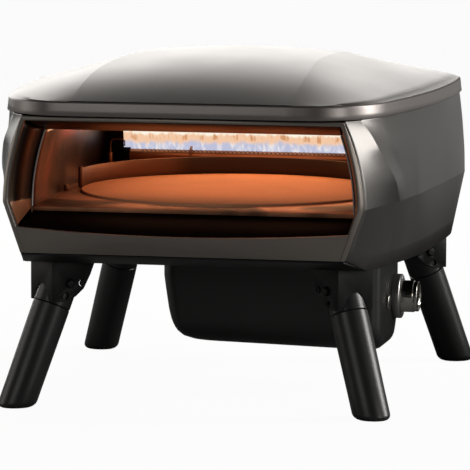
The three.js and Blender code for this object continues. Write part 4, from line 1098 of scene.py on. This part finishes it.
def side_skin(side, s):
    """The side's outer face, with a small round along each of its creases"""
    rows = side_rows(s)
    fine = []
    for row in rows:
        edge, bend, *line = row
        slopes = tangents(line)
        before = line[0] + (bend - line[0]).normalized() * s.crease_width
        places = [edge.lerp(bend, t / BEND_STEPS) for t in range(BEND_STEPS)]
        places += [bend.lerp(before, t / BEND_STEPS) for t in range(BEND_STEPS + 1)]
        places += [line[0], along(line, slopes, 0, s.crease_width / (line[1] - line[0]).length)]
        for k in range(len(line) - 1):
            places += [along(line, slopes, k, (step + 1) / s.stations) for step in range(s.stations)]
        fine.append(places)
    middle = centre()
    fine = [[Vector((side * p.x, middle.y + p.y, p.z)) for p in row] for row in fine]
    mesh = facing(sheet_grid(fine), (side, 0, 0))
    waist = waist_height(s)
    fold = {same(row[FOLD_COLUMN], FOLD_DIGITS) for row in fine}
    for edge in mesh.edges:
        level = [abs(v.co.z - waist) < LEVEL_GAP for v in edge.verts]
        upright = all(same(v.co, FOLD_DIGITS) in fold for v in edge.verts)
        low = max(v.co.z for v in edge.verts) < waist + s.crease_fade
        high = min(v.co.z for v in edge.verts) > waist + s.crease_start
        edge.seam = all(level) or (upright and (low or high))
    return mesh


def waist_height(s):
    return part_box("side_panel_right")[0].z + s.waist_rise


def frame_half(height, s):
    """Half the frame's outer width at a height: straight below the waist, bowed above it"""
    low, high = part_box("front_frame")
    waist = waist_height(s)
    if height <= waist:
        return lerp(s.frame_foot, high.x, (height - low.z) / (waist - low.z))
    up = (height - waist) / (high.z - waist)
    return lerp(high.x, s.frame_top, up) + s.bow * 4 * up * (1 - up)


def mouth_half(height, s):
    """Half the width of the mouth inside the frame, at a height"""
    up = max(0, (height - waist_height(s)) / (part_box("front_frame")[1].z - waist_height(s)))
    return frame_half(height, s) - lerp(s.bar_side, s.bar_corner, up)


def inner_half(height, s):
    """Half the width between the liner's front edges, at a height"""
    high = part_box("liner_side_right")[1]
    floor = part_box("floor_plate")[1].z
    up = min(1, max(0, (height - floor) / (high.z - floor)))
    return s.inner_foot - s.lean * up + s.inner_bow * 4 * up * (1 - up)


def sheet_grid(rows):
    """A sheet through rows of places of equal count"""
    across, down = len(rows[0]) - 1, len(rows) - 1
    mesh = bmesh.new()
    bmesh.ops.create_grid(mesh, x_segments=across, y_segments=down, size=1)
    for vert in mesh.verts:
        column = round((vert.co.x + 1) / 2 * across)
        vert.co = rows[round((1 - vert.co.y) / 2 * down)][column]
    bmesh.ops.recalc_face_normals(mesh, faces=mesh.faces)
    return mesh


def facing(mesh, direction):
    """Turns a sheet so that most of it faces a direction"""
    total = sum((f.normal * f.calc_area() for f in mesh.faces), Vector())
    if total.dot(Vector(direction)) < 0:
        bmesh.ops.reverse_faces(mesh, faces=mesh.faces)
    return mesh


# How late the slant of the frame's sides fades towards their top
SLANT_POWER = 6
# Laps between the jamb, the floor and the waist
JAMB_LAPS = (0.001, 0.002)


def frame_ring(s):
    """The frame's face: up the right side, across the top and down the left side"""
    low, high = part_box("front_frame")
    waist = waist_height(s)
    steps = [k / s.bow_steps for k in range(s.bow_steps + 1)]
    heights = [low.z] + [lerp(waist, high.z, up) for up in steps]
    squeeze = (high.z - s.bar_top - waist) / (high.z - waist)
    slants = [s.bar_slant] + [s.bar_slant * (1 - up**SLANT_POWER) for up in steps]
    outer = [Vector((frame_half(z, s), low.y + slant, z)) for z, slant in zip(heights, slants)]
    inner = [Vector((mouth_half(z, s), low.y, waist + (z - waist) * squeeze)) for z in heights]
    inner[0].z = low.z
    flip = Vector((-1, 1, 1))
    rows = [line + [p * flip for p in reversed(line)] for line in (outer, inner)]
    return facing(sheet_grid(rows), (0, -1, 0))


def jamb_skin(side, s):
    """A jamb from the frame's inner edge back to the liner"""
    low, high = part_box("jamb_right")
    waist = waist_height(s)
    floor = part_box("floor_plate")[1].z
    lap, rise = JAMB_LAPS
    steps = [k / s.bow_steps for k in range(s.bow_steps + 1)]
    heights = [(low.z, floor + SHEET_LAP), (waist - lap, waist + lap)]
    heights += [(lerp(waist, high.z, up), lerp(waist + rise, high.z - s.lintel_drop, up)) for up in steps]
    rows = []
    for front, back in heights:
        near = Vector((side * (mouth_half(front, s) - SHEET_LAP), low.y, front))
        far = Vector((side * inner_half(back, s), high.y, back))
        rows.append([near, near.lerp(far, 0.5), far])
    return facing(sheet_grid(rows), (-side, 0, 0))


# How far the bead stands out of the jamb, as a share of its radius, and the sides of a wire's round
BEAD_OUT = 0.6
WIRE_SIDES = 10
# Fine columns between two stations of the liner
LINER_STEPS = 4


def seam_bead(side, s):
    """The rolled edge of the liner, seen as a thin line round the mouth"""
    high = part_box("jamb_right")[1]
    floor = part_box("floor_plate")[1].z + s.bead
    line = []
    for k in range(s.bow_steps + 1):
        height = lerp(floor, high.z - s.lintel_drop, k / s.bow_steps)
        line.append((side * (inner_half(height, s) - s.bead * BEAD_OUT), high.y - s.bead, height))
    return swept(line, s.bead, WIRE_SIDES)


def liner_skin(side, s):
    """A side wall of the baking chamber, inner face"""
    low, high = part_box("liner_side_right")
    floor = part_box("floor_plate")[1].z
    stations = [Vector((x, y)) for y, x in LINER_SHARES]
    slopes = tangents(stations)
    fine = [
        along(stations, slopes, k, step / LINER_STEPS)
        for k in range(len(stations) - 1)
        for step in range(LINER_STEPS)
    ]
    fine.append(stations[-1])
    levels = [low.z, floor - s.liner_knee, floor]
    levels += [lerp(floor, high.z, (k + 1) / s.bow_steps) for k in range(s.bow_steps)]
    rows = []
    for k, height in enumerate(levels):
        up = max(0, (height - floor) / (high.z - floor))
        lean = s.lean * up if k else s.lean
        bow = s.inner_bow * 4 * up * (1 - up)
        halves = [lerp(s.inner_foot, s.liner_half, p.x) - lean + bow * (1 - p.y) for p in fine]
        rows.append([Vector((side * x, lerp(low.y, high.y, p.y), height)) for x, p in zip(halves, fine)])
    return facing(sheet_grid(rows), (-side, 0, 0))


class OVEN_OT_shell(bpy.types.Operator):
    """Builds the folded sheets of the body and the baking chamber"""

    bl_idname = "oven.shell"
    bl_label = "Build sheets"

    def execute(self, context):
        s = context.scene.oven_shell
        for node, slot in FOLDED.items():
            mesh = refined(node, s.edge, s.angle)
            finish = "soot" if node == "threshold_panel" else slot
            piece(node.replace("_", "-"), mesh, slot, replaced=(node,), crisp=40, material=finish)
        for side, name in ((1, "right"), (-1, "left")):
            sheet(f"side-{name}", f"side_panel_{name}", side_skin(side, s), "shell_paint", ROUND, s.wall)
            sheet(f"jamb-{name}", f"jamb_{name}", jamb_skin(side, s), "liner_steel", 9, s.sheet, "jamb")
            piece(f"seam-{name}", seam_bead(side, s), "plain_steel")
            sheet(f"liner-{name}", f"liner_side_{name}", liner_skin(side, s), "liner_steel", 30, s.sheet)
        low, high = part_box("front_frame")
        ring = sheet("mouth-frame", "front_frame", frame_ring(s), "frame_paint", CRISP, high.y - low.y)
        soft = ring.modifiers.new("Edges", "BEVEL")
        soft.width, soft.segments = s.bar_edge, 2
        soft.limit_method = "ANGLE"
        soft.angle_limit = math.radians(40)
        return {"FINISHED"}


# Baking chamber


STONE_CHAMFER = 0.0015
STONE_SIDES = 160
# Rings that support the chamfer and the flat: share of the chamfer, shares of the radius
CHAMFER_SUPPORTS = (0.3, 1.5)
FLAT_SUPPORTS = (0.7, 0.4)


def stone_profile(low, high, radius):
    """From the middle of the underside, out over the rim, to the middle of the top"""
    chamfer = STONE_CHAMFER
    upper, inner = (chamfer * part for part in CHAMFER_SUPPORTS)
    profile = [(0, low), (radius - chamfer, low), (radius, low + chamfer), (radius, high - chamfer)]
    profile += [(radius - upper, high - upper), (radius - chamfer, high), (radius - inner, high)]
    return profile + [(radius * part, high) for part in FLAT_SUPPORTS] + [(0, high)]


class OVEN_OT_stone(bpy.types.Operator):
    """Builds the stone and its turning plate"""

    bl_idname = "oven.stone"
    bl_label = "Build stone"

    def execute(self, context):
        middle = centre()
        low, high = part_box("pizza_stone")
        mesh = spun(stone_profile(low.z, high.z, (high.x - low.x) / 2), STONE_SIDES)
        mesh.transform(Matrix.Translation((middle.x, middle.y, 0)))
        piece("stone", mesh, "stone", "turntable", ("pizza_stone",), 30)
        s = context.scene.oven_shell
        mesh = refined("turntable_plate", s.edge, s.angle)
        piece("turning-plate", mesh, "plain_steel", "turntable", ("turntable_plate",))
        return {"FINISHED"}


# The holes' two rows, in degrees from the front, and the holes' places along the tube
HOLE_ROWS = (52, 78)
HOLE_START = 0.03
HOLE_MARGIN = 0.05
# A hole's rim from its sunk edge over its top to its middle, and the sides of its round
HOLE_HEIGHTS = (-0.0004, 0.00012, 0.00005)
HOLE_SIDES = 8
# Columns and rows of the flames' curtains, how far they wave, and how far they stop short of
# the tube's end and reach down into it
CURTAIN = (60, 12)
CURTAIN_WAVE = 0.004
CURTAIN_TURNS = 47
CURTAIN_SHIFT = 9
CURTAIN_END = 0.004
CURTAIN_SINK = 0.002
# How much less the rear curtain leans and how much later it starts
REAR_LEAN = 0.4
REAR_START = 0.003
BURNER_WALL = 0.0013
BURNER_SIDES = 40


def burner_holes(low, high, s):
    """Two rows of small dark rims, one for each pair of flame holes"""
    middle = middle_of(low, high)
    radius = (high.z - low.z) / 2
    mesh = bmesh.new()
    steps = int((high.x - low.x - HOLE_MARGIN) / s.hole_pitch)
    sunk, top, hollow = HOLE_HEIGHTS
    profile = [(s.hole_radius, sunk), (s.hole_radius, top), (0, hollow)]
    for row, angle in enumerate(math.radians(side) for side in HOLE_ROWS):
        direction = Vector((0, -math.cos(angle), math.sin(angle)))
        for k in range(steps):
            place = middle + direction * radius
            place.x = low.x + HOLE_START + k * s.hole_pitch + row * s.hole_pitch / 2
            added(mesh, aimed(spun(profile, HOLE_SIDES), place, direction))
    return mesh


def spark_tip(s):
    """The wire's end, turned down towards the burner"""
    low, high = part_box("igniter_electrode")
    x, y, z = high.x, (low.y + high.y) / 2, high.z - s.wire
    bend = s.wire * 2
    line = [(x - bend, y, z), (x - bend * 0.3, y, z - bend * 0.3), (x, y, z - bend), (x, y, z - s.wire_drop)]
    return swept(line, s.wire, WIRE_SIDES)


def flame_sheet(low, high, top, lean, start):
    """A curtain that rises from the burner and bows towards the mouth"""
    mesh = bmesh.new()
    columns, rows = CURTAIN
    bmesh.ops.create_grid(mesh, x_segments=columns, y_segments=rows, size=1)
    y = (low.y + high.y) / 2
    for vert in mesh.verts:
        along_x, up = (vert.co.x + 1) / 2, (vert.co.y + 1) / 2
        wave = CURTAIN_WAVE * math.sin(along_x * CURTAIN_TURNS + start * CURTAIN_SHIFT) * up
        x = lerp(low.x + start, high.x - CURTAIN_END, along_x)
        vert.co = (x, y - lean * up * up + wave, lerp(high.z - CURTAIN_SINK, top, up))
    return mesh


class OVEN_OT_burner(bpy.types.Operator):
    """Builds the burner, its flames, the igniter and the guard"""

    bl_idname = "oven.burner"
    bl_label = "Build burner"

    def execute(self, context):
        s = context.scene.oven_chamber
        sheets = context.scene.oven_shell
        low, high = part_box("burner_tube")
        middle = middle_of(low, high)
        radius = (high.z - low.z) / 2
        bore = radius - BURNER_WALL
        span = high.x - low.x
        profile = [(bore, 0), (radius, 0), (radius, span), (bore, span), (bore, 0)]
        tube = aimed(spun(profile, BURNER_SIDES), (low.x, middle.y, middle.z), (1, 0, 0))
        piece("burner-tube", tube, "plain_steel", replaced=("burner_tube",), crisp=50, material="tube")
        piece("flame-holes", burner_holes(low, high, s), "black_steel")
        for node, slot, finish in (
            ("burner_end_cap", "black_plastic", "soot"),
            ("burner_hanger_right", "plain_steel", "tube"),
            ("burner_hanger_left", "plain_steel", "tube"),
            ("igniter_electrode", "ceramic", "tube"),
            ("floor_stud", "plain_steel", "tube"),
            ("flame_guard", "floor_steel", "guard"),
        ):
            mesh = refined(node, sheets.edge, math.radians(35))
            piece(node.replace("_", "-"), mesh, slot, replaced=(node,), crisp=40, material=finish)
        piece("spark-tip", spark_tip(s), "plain_steel", material="tube")
        top = high.z + s.flame_height
        glow = context.scene.oven_studio.glow
        flames("flame", context.scene.oven_colours, high.z, high.z + s.flame_colour, glow)
        for name, lean, start in (
            ("flames-front", s.flame_lean, s.flame_start),
            ("flames-rear", s.flame_lean * REAR_LEAN, s.flame_start + REAR_START),
        ):
            mesh = flame_sheet(low, high, top, lean, start)
            piece(name, mesh, "ceramic", material="flame")
        return {"FINISHED"}


# Controls


# The housing's left end: share of the end reach in, share of the depth that is left
END_SHARES = (
    (0, 0.7), (0.05, 0.53), (0.11, 0.335), (0.17, 0.225),
    (0.26, 0.125), (0.39, 0.06), (0.6, 0.02), (1, 0),
)
# Largest corner radius, as a share of a side
ROUND_LIMIT = 0.45


def end_reach(left, s):
    """How far the left end stands in at a share of the depth that is left"""
    if left >= END_SHARES[0][1]:
        return 0.0
    for (near, high), (far, low) in zip(END_SHARES, END_SHARES[1:]):
        if low <= left <= high:
            return s.end * lerp(near, far, (high - left) / (high - low))
    return s.end


def quarter(radius, left):
    """How far a quarter round of the radius stands in at a height above the floor"""
    if left >= radius:
        return 0.0
    return radius - math.sqrt(max(0.0, radius**2 - (radius - left) ** 2))


def round_plan(x0, x1, y0, y1, radius, steps):
    """A rectangle with round corners, anticlockwise"""
    radius = min(radius, (x1 - x0) * ROUND_LIMIT, (y1 - y0) * ROUND_LIMIT)
    centres = ((x1 - radius, y0 + radius, -90), (x1 - radius, y1 - radius, 0))
    centres += ((x0 + radius, y1 - radius, 90), (x0 + radius, y0 + radius, 180))
    points = []
    for x, y, start in centres:
        points += [(x + cx, y + cy) for cx, cy in arc(radius, 0, 0, start, start + 90, steps)]
    return points


# Heights of the housing's rings as shares of its depth, closer together towards the floor
HOUSING_LEVELS = (
    1, 0.85, 0.7, 0.6, 0.5, 0.42, 0.35, 0.29, 0.24, 0.19,
    0.15, 0.115, 0.085, 0.06, 0.04, 0.024, 0.013, 0.006, 0.002, 0,
)
# Rings over the floor: share of the way in, and how much less that is along x
FLOOR_RINGS = (0.15, 0.35, 0.6, 0.85)
FLOOR_RING_X = 0.6
END_STRETCH = 1.02
CORNER_STEPS = 7


def housing_rings(low, high, s):
    """Rings from the top of the housing down its sides and in over its floor"""
    depth = high.z - low.z
    rings = []
    for share_left in HOUSING_LEVELS:
        left = share_left * depth
        x0 = low.x + end_reach(share_left * END_STRETCH, s)
        x1 = high.x - quarter(s.lip, left)
        y0 = low.y + quarter(s.front, left)
        y1 = high.y - quarter(s.rear, left)
        rings.append((round_plan(x0, x1, y0, y1, s.corner, CORNER_STEPS), left))
    inner, _ = rings[-1]
    middle_x = sum(x for x, _ in inner) / len(inner)
    middle_y = sum(y for _, y in inner) / len(inner)
    for share_in in FLOOR_RINGS:
        ring = [(lerp(x, middle_x, share_in * FLOOR_RING_X), lerp(y, middle_y, share_in)) for x, y in inner]
        rings.append((ring, 0.0))
    return rings, depth


def housing_mesh(low, high, s):
    """The housing's outer face, open at its top"""
    rings, depth = housing_rings(low, high, s)
    mesh = bmesh.new()

    def place(point, left):
        away = min(1, max(0, (high.x - s.drop_end - point[0]) / (s.drop_start - s.drop_end)))
        lift = s.drop * away * away * (3 - 2 * away) * (1 - left / depth)
        return (point[0], point[1], low.z + left + lift)

    first, left = rings[0]
    ring = [mesh.verts.new(place(p, left)) for p in first]
    for a, b in zip(ring, ring[1:] + ring[:1]):
        mesh.edges.new((a, b))
    edges = mesh.edges[:]
    for points, left in rings[1:]:
        ring, edges = grown_ring(mesh, ring, edges)
        for vert, point in zip(ring, points):
            vert.co = place(point, left)
    bmesh.ops.contextual_create(mesh, geom=ring)
    bmesh.ops.recalc_face_normals(mesh, faces=mesh.faces)
    floor = min(mesh.faces, key=lambda f: f.calc_center_median().z)
    if floor.normal.z > 0:
        bmesh.ops.reverse_faces(mesh, faces=mesh.faces)
    return mesh


# The knob's bore, the groove's two slopes from its front edge, and the width of the nose's shoulder
KNOB_BORE = 0.004
GROOVE_BACK = (0.002, 0.0014)
GROOVE_FRONT = 0.0006
SHOULDER = 0.001
RIM_WIDTH = 0.0014
EDGE_STEPS = 4
# The pointer on the knob: its thickness, its length and its middle as shares of the radius
MARK_THICKNESS = 0.0006
MARK_LENGTH = 0.55
MARK_OUT = 0.45


def knob_profile(back, face, radius, s):
    """From the bore at the back, out over the skirt and the groove, to the dished face"""
    groove = face - s.nose
    edge = s.edge
    start, deep = (groove - gap for gap in GROOVE_BACK)
    line = [(KNOB_BORE, back), (radius - edge, back), (radius, back + edge), (radius, start)]
    inner, nose = radius - s.groove, radius - SHOULDER
    line += [(inner, deep), (inner, groove - GROOVE_FRONT), (nose, groove)]
    line += arc(edge, nose - edge, face - edge, 0, 90, EDGE_STEPS)
    rim = nose - edge - RIM_WIDTH
    return line + [(rim, face), (rim - SHOULDER, face - s.dish), (0, face - s.dish)]


class OVEN_OT_controls(bpy.types.Operator):
    """Builds the housing, the knob, the button and the gas parts"""

    bl_idname = "oven.controls"
    bl_label = "Build controls"

    def execute(self, context):
        s = context.scene.oven_controls
        sheets = context.scene.oven_shell
        low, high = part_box("control_housing")
        mesh = housing_mesh(low, high, s)
        walled(piece("housing", mesh, "black_plastic", replaced=("control_housing",), crisp=60), s.wall)
        low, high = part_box("gas_knob")
        place = Vector((0, (low.y + high.y) / 2, (low.z + high.z) / 2))
        radius = (high.z - low.z) / 2
        mesh = aimed(spun(knob_profile(low.x, high.x, radius, s), s.steps), place, (1, 0, 0))
        mark = bmesh.new()
        bmesh.ops.create_cube(mark, size=1)
        size = Matrix.Diagonal((MARK_THICKNESS, s.mark, radius * MARK_LENGTH, 1))
        mark.transform(Matrix.Translation(place + Vector((high.x - s.dish, 0, radius * MARK_OUT))) @ size)
        piece("knob", mesh, "chrome", "gas_knob", ("gas_knob",), 25)
        piece("knob-mark", mark, "black_plastic", "gas_knob")
        for node, name, slot, body in (
            ("knob_bezel", "bezel", "plain_steel", BODY),
            ("button_ring", "button-ring", "chrome", BODY),
            ("power_button", "button", "black_plastic", "power_button"),
            ("gas_pipe", "pipe", "brass", BODY),
            ("gas_inlet", "inlet", "brass", BODY),
        ):
            mesh = refined(node, sheets.edge, math.radians(28), 2)
            piece(name, mesh, slot, body, (node,), 35)
        return {"FINISHED"}


# Legs


# Below this height a place belongs to a foot
FOOT_LEVEL = 0.001
# The tube's straight start, where its taper ends as a share of the leg, and the foot's round
TUBE_START = 0.02
TAPER_END = 0.8
FOOT_STEPS = 6
DOME_STEPS = 14


def leg_line(corner):
    """The pivot of a leg and the middle of its foot"""
    pivot = next(Vector(j["pos_m"]) for j in frame["joints"] if j["name"] == f"leg_fold_{corner}")
    verts = [v.co for v in frame["nodes"][f"leg_tube_{corner}"].data.vertices]
    low = [v for v in verts if v.z < FOOT_LEVEL]
    foot = sum(low, Vector()) / len(low)
    return pivot, foot


def leg_tube(pivot, foot, s):
    """A tapered tube from the knuckle's seam to a level foot with a soft edge"""
    line = foot - pivot
    start = s.knuckle + s.gap
    end = line.length + s.foot
    radius = s.radius
    profile = [(0, start), (radius - s.lip, start), (radius, start + s.lip), (radius, start + TUBE_START)]
    profile += [(s.foot, line.length * TAPER_END), (s.foot, end), (0, end)]
    mesh = aimed(spun(profile, s.steps), pivot, line)
    bmesh.ops.bisect_plane(
        mesh,
        geom=mesh.verts[:] + mesh.edges[:] + mesh.faces[:],
        plane_co=(0, 0, 0),
        plane_no=(0, 0, -1),
        clear_outer=True,
    )
    filled = bmesh.ops.holes_fill(mesh, edges=[e for e in mesh.edges if e.is_boundary])
    rounded(mesh, [e for f in filled["faces"] for e in f.edges], s.foot_edge, FOOT_STEPS)
    bmesh.ops.recalc_face_normals(mesh, faces=mesh.faces)
    return mesh


def leg_knuckle(pivot, foot, s):
    """A round head at the pivot and a short cylinder down to the seam"""
    dome = arc(s.radius, 0, 0, -90, 0, DOME_STEPS)
    profile = [(0, -s.radius), *dome[1:], (s.radius, s.knuckle - s.lip), (s.radius - s.lip, s.knuckle)]
    return aimed(spun(profile + [(0, s.knuckle)], s.steps), pivot, foot - pivot)


def bracket_screws(corner, s):
    """The screws beside a bracket's pivot, one on each outer face"""
    pivot, foot = leg_line(corner)
    out = (foot - pivot).to_2d().normalized().to_3d()
    across = Vector((-out.y, out.x, 0))
    reach = [v.co.dot(across) for v in frame["nodes"][f"leg_bracket_{corner}"].data.vertices]
    place = pivot - out * s.screw_away
    mesh = bmesh.new()
    for face, way in ((max(reach), across), (min(reach), -across)):
        added(mesh, screw(place + across * (face - place.dot(across)), way, s.screw, s.screw_rise))
    return mesh


class OVEN_OT_legs(bpy.types.Operator):
    """Builds the four folding legs with their brackets"""

    bl_idname = "oven.legs"
    bl_label = "Build legs"

    def execute(self, context):
        s = context.scene.oven_legs
        sheets = context.scene.oven_shell
        for corner in CORNERS:
            body = f"leg_{corner}"
            pivot, foot = leg_line(corner)
            tag = corner.replace("_", "-")
            tube = leg_tube(pivot, foot, s)
            piece(f"leg-{tag}", tube, "leg_plastic", body, (f"leg_tube_{corner}",), 30)
            knuckle = leg_knuckle(pivot, foot, s)
            piece(f"knuckle-{tag}", knuckle, "leg_plastic", body, (f"leg_knuckle_{corner}",), 30)
            mesh = refined(f"leg_bracket_{corner}", sheets.edge, math.radians(35))
            added(mesh, bracket_screws(corner, sheets))
            piece(f"bracket-{tag}", mesh, "black_steel", replaced=(f"leg_bracket_{corner}",), crisp=40)
            for node, rides in (("lock_plunger", body), ("pivot_bolt", BODY)):
                mesh = refined(f"{node}_{corner}", sheets.edge, math.radians(35), 3)
                name = f"{node.split('_')[1]}-{tag}"
                piece(name, mesh, "black_steel", rides, (f"{node}_{corner}",), 40)
        return {"FINISHED"}


# Stage


# Lights round the stone: place from its middle, width, height, colour; the power is a setting
LIGHTS = {
    "back": ((-1.45, 2.6, 0.95), 3.4, 1.6, (1, 0.985, 0.96)),
    "left": ((-2.25, -0.2, 0.35), 1.3, 1.4, (1, 0.95, 0.9)),
    "right": ((2.3, 0.68, 0.72), 0.8, 1.3, (1, 0.98, 0.96)),
    "side": ((1.0, 2.3, 0.1), 1.6, 0.6, (1, 0.98, 0.96)),
    "low": ((2.25, -1.35, 0.3), 0.9, 0.7, (1, 0.98, 0.95)),
    "front": ((-1.0, -2.9, 0.9), 1.4, 1.0, (1, 0.98, 0.95)),
}
AIM_HEIGHT = 0.05
# The flames' own light, from the burner: place, direction, width, height, colour
FIRE_PLACE = Vector((0, -0.03, 0.035))
FIRE_WAY = Vector((0, -1, -0.25))
FIRE_SIZE = (0.36, 0.03)
FIRE_TONE = (1.0, 0.42, 0.14)
# The chamber's light, from the middle of the ceiling
CHAMBER_PLACE = Vector((0, 0.02, -0.012))
CHAMBER_SIZE = (0.34, 0.3)
CHAMBER_TONE = (1.0, 0.5, 0.27)
ROOM_TONE = (1.0, 0.985, 0.965, 1)
WHITE = (1, 1, 1, 1)
# The floor: its painted shadow behind the oven, its tones for the light and for the eye, its size
SHADE_MIDDLE = (0.4, 0.9, 0)
SHADE_REACH = (1.25, 1.25, None)
FLOOR_TONE = (0.3, 0.3, 0.3)
FLOOR_PAINTED_SHADOW = (0.01, 0.01, 0.01)
FLOOR_SEEN = (0.95, 0.95, 0.95)
FLOOR_WHITE = 0.95
FLOOR_HALF = 60
SENSOR = 36
CLIP = (0.05, 60)


def light(name, place, target, width, height, tone, power):
    data = bpy.data.lights.new(name, "AREA")
    data.shape = "RECTANGLE"
    data.size, data.size_y = width, height
    data.energy = power
    data.color = tone
    lamp = placed(name, data)
    lamp.location = place
    lamp.rotation_mode = "QUATERNION"
    lamp.rotation_quaternion = (Vector(target) - Vector(place)).to_track_quat("-Z", "Y")


def make_camera(s):
    data = bpy.data.cameras.new("photo-view")
    data.sensor_width = SENSOR
    data.lens = s.lens
    data.clip_start, data.clip_end = CLIP
    camera = placed("photo-view", data)
    camera.location = centre() + Vector(s.camera)
    turn = (
        Matrix.Rotation(s.azimuth, 4, "Z")
        @ Matrix.Rotation(math.pi / 2 - s.elevation, 4, "X")
        @ Matrix.Rotation(s.roll, 4, "Z")
    )
    camera.rotation_mode = "QUATERNION"
    camera.rotation_quaternion = turn.to_quaternion()
    bpy.context.scene.camera = camera


def make_room(s):
    """A dim room for the light and a white one for the eye, with part of it in metal and shadows"""
    world = bpy.data.worlds.new("room")
    bpy.context.scene.world = world
    graph = Graph(world)
    seen = graph.take("ShaderNodeLightPath", "Is Camera Ray")
    for name, part in (("Is Transmission Ray", 1.0), ("Is Glossy Ray", s.shine), ("Is Diffuse Ray", s.fill)):
        seen = seen + graph.take("ShaderNodeLightPath", name) * part
    soft = graph.take("ShaderNodeBackground", 0, None, {"Color": ROOM_TONE, "Strength": s.sky})
    white = graph.take("ShaderNodeBackground", 0, None, {"Color": WHITE, "Strength": 1.0})
    room = graph.take("ShaderNodeMixShader", 0, None, {0: seen, 1: soft, 2: white})
    graph.close(room, "ShaderNodeOutputWorld")


def make_floor():
    graph = Graph(bpy.data.materials.new("floor"))
    seen = graph.take("ShaderNodeLightPath", "Is Camera Ray")
    # Painted shadow: for all rays but the camera's, the floor is darker behind the oven
    tone = graph.mix(graph.spot(SHADE_MIDDLE, SHADE_REACH), FLOOR_TONE, FLOOR_PAINTED_SHADOW)
    tone = graph.mix(seen, tone, FLOOR_SEEN)
    inputs = {"Base Color": tone, "Roughness": 0.9, "Specular IOR Level": 0.0}
    matte = graph.take("ShaderNodeBsdfPrincipled", 0, None, inputs)
    white = graph.take("ShaderNodeEmission", 0, None, {"Color": WHITE, "Strength": 1.0})
    graph.close(graph.take("ShaderNodeMixShader", 0, None, {0: seen * FLOOR_WHITE, 1: matte, 2: white}))
    mesh = bmesh.new()
    bmesh.ops.create_grid(mesh, x_segments=1, y_segments=1, size=FLOOR_HALF)
    data = bpy.data.meshes.new("floor")
    mesh.to_mesh(data)
    mesh.free()
    data.materials.append(graph.owner)
    placed("floor", data)


class OVEN_OT_stage(bpy.types.Operator):
    """Sets up the camera, the lights and the floor"""

    bl_idname = "oven.stage"
    bl_label = "Build stage"

    def execute(self, context):
        s = context.scene.oven_studio
        middle = centre()
        make_camera(s)
        make_room(s)
        make_floor()
        aim = middle + Vector((0, 0, AIM_HEIGHT))
        for name, (place, *rest) in LIGHTS.items():
            light(f"light-{name}", middle + Vector(place), aim, *rest, getattr(s, name))
        low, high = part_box("burner_tube")
        fire = Vector((0, (low.y + high.y) / 2, high.z)) + FIRE_PLACE
        light("light-fire", fire, fire + FIRE_WAY, *FIRE_SIZE, FIRE_TONE, s.fire)
        glow = Vector((0, middle.y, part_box("liner_ceiling")[0].z)) + CHAMBER_PLACE
        light("light-chamber", glow, glow - Vector((0, 0, 1)), *CHAMBER_SIZE, CHAMBER_TONE, s.oven_glow)
        context.scene.view_settings.view_transform = "Standard"
        return {"FINISHED"}


# Panel and registration


STEPS = ("lid", "shell", "stone", "burner", "controls", "legs", "stage")


class OVEN_PT_panel(bpy.types.Panel):
    """Settings and steps of the oven"""

    bl_idname = "OVEN_PT_panel"
    bl_label = "Pizza oven"
    bl_space_type = "VIEW_3D"
    bl_region_type = "UI"
    bl_category = "Oven"

    def draw(self, context):
        for group, kind in SETTINGS.items():
            box = self.layout.box()
            box.label(text=kind.__doc__)
            for name in kind.__annotations__:
                box.prop(getattr(context.scene, group), name)
        for step in STEPS:
            self.layout.operator(f"oven.{step}")


CLASSES = (
    *SETTINGS.values(),
    OVEN_OT_lid,
    OVEN_OT_shell,
    OVEN_OT_stone,
    OVEN_OT_burner,
    OVEN_OT_controls,
    OVEN_OT_legs,
    OVEN_OT_stage,
    OVEN_PT_panel,
)


def register():
    for kind in CLASSES:
        bpy.utils.register_class(kind)
    for name, kind in SETTINGS.items():
        setattr(bpy.types.Scene, name, bpy.props.PointerProperty(type=kind))


def unregister():
    for name in SETTINGS:
        delattr(bpy.types.Scene, name)
    for kind in reversed(CLASSES):
        bpy.utils.unregister_class(kind)


def assign_cad_finishes():
    """The CAD pieces that still show take their record slot's finish"""
    for entry in frame["record"]["subparts"]:
        data = frame["nodes"][entry["node"]].data
        data.materials.clear()
        data.materials.append(bpy.data.materials[f"{entry['material_slot']} finish"])


def main():
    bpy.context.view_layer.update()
    register()
    make_finishes()
    assign_cad_finishes()
    for step in STEPS:
        getattr(bpy.ops.oven, step)()


if __name__ == "__main__":
    main()
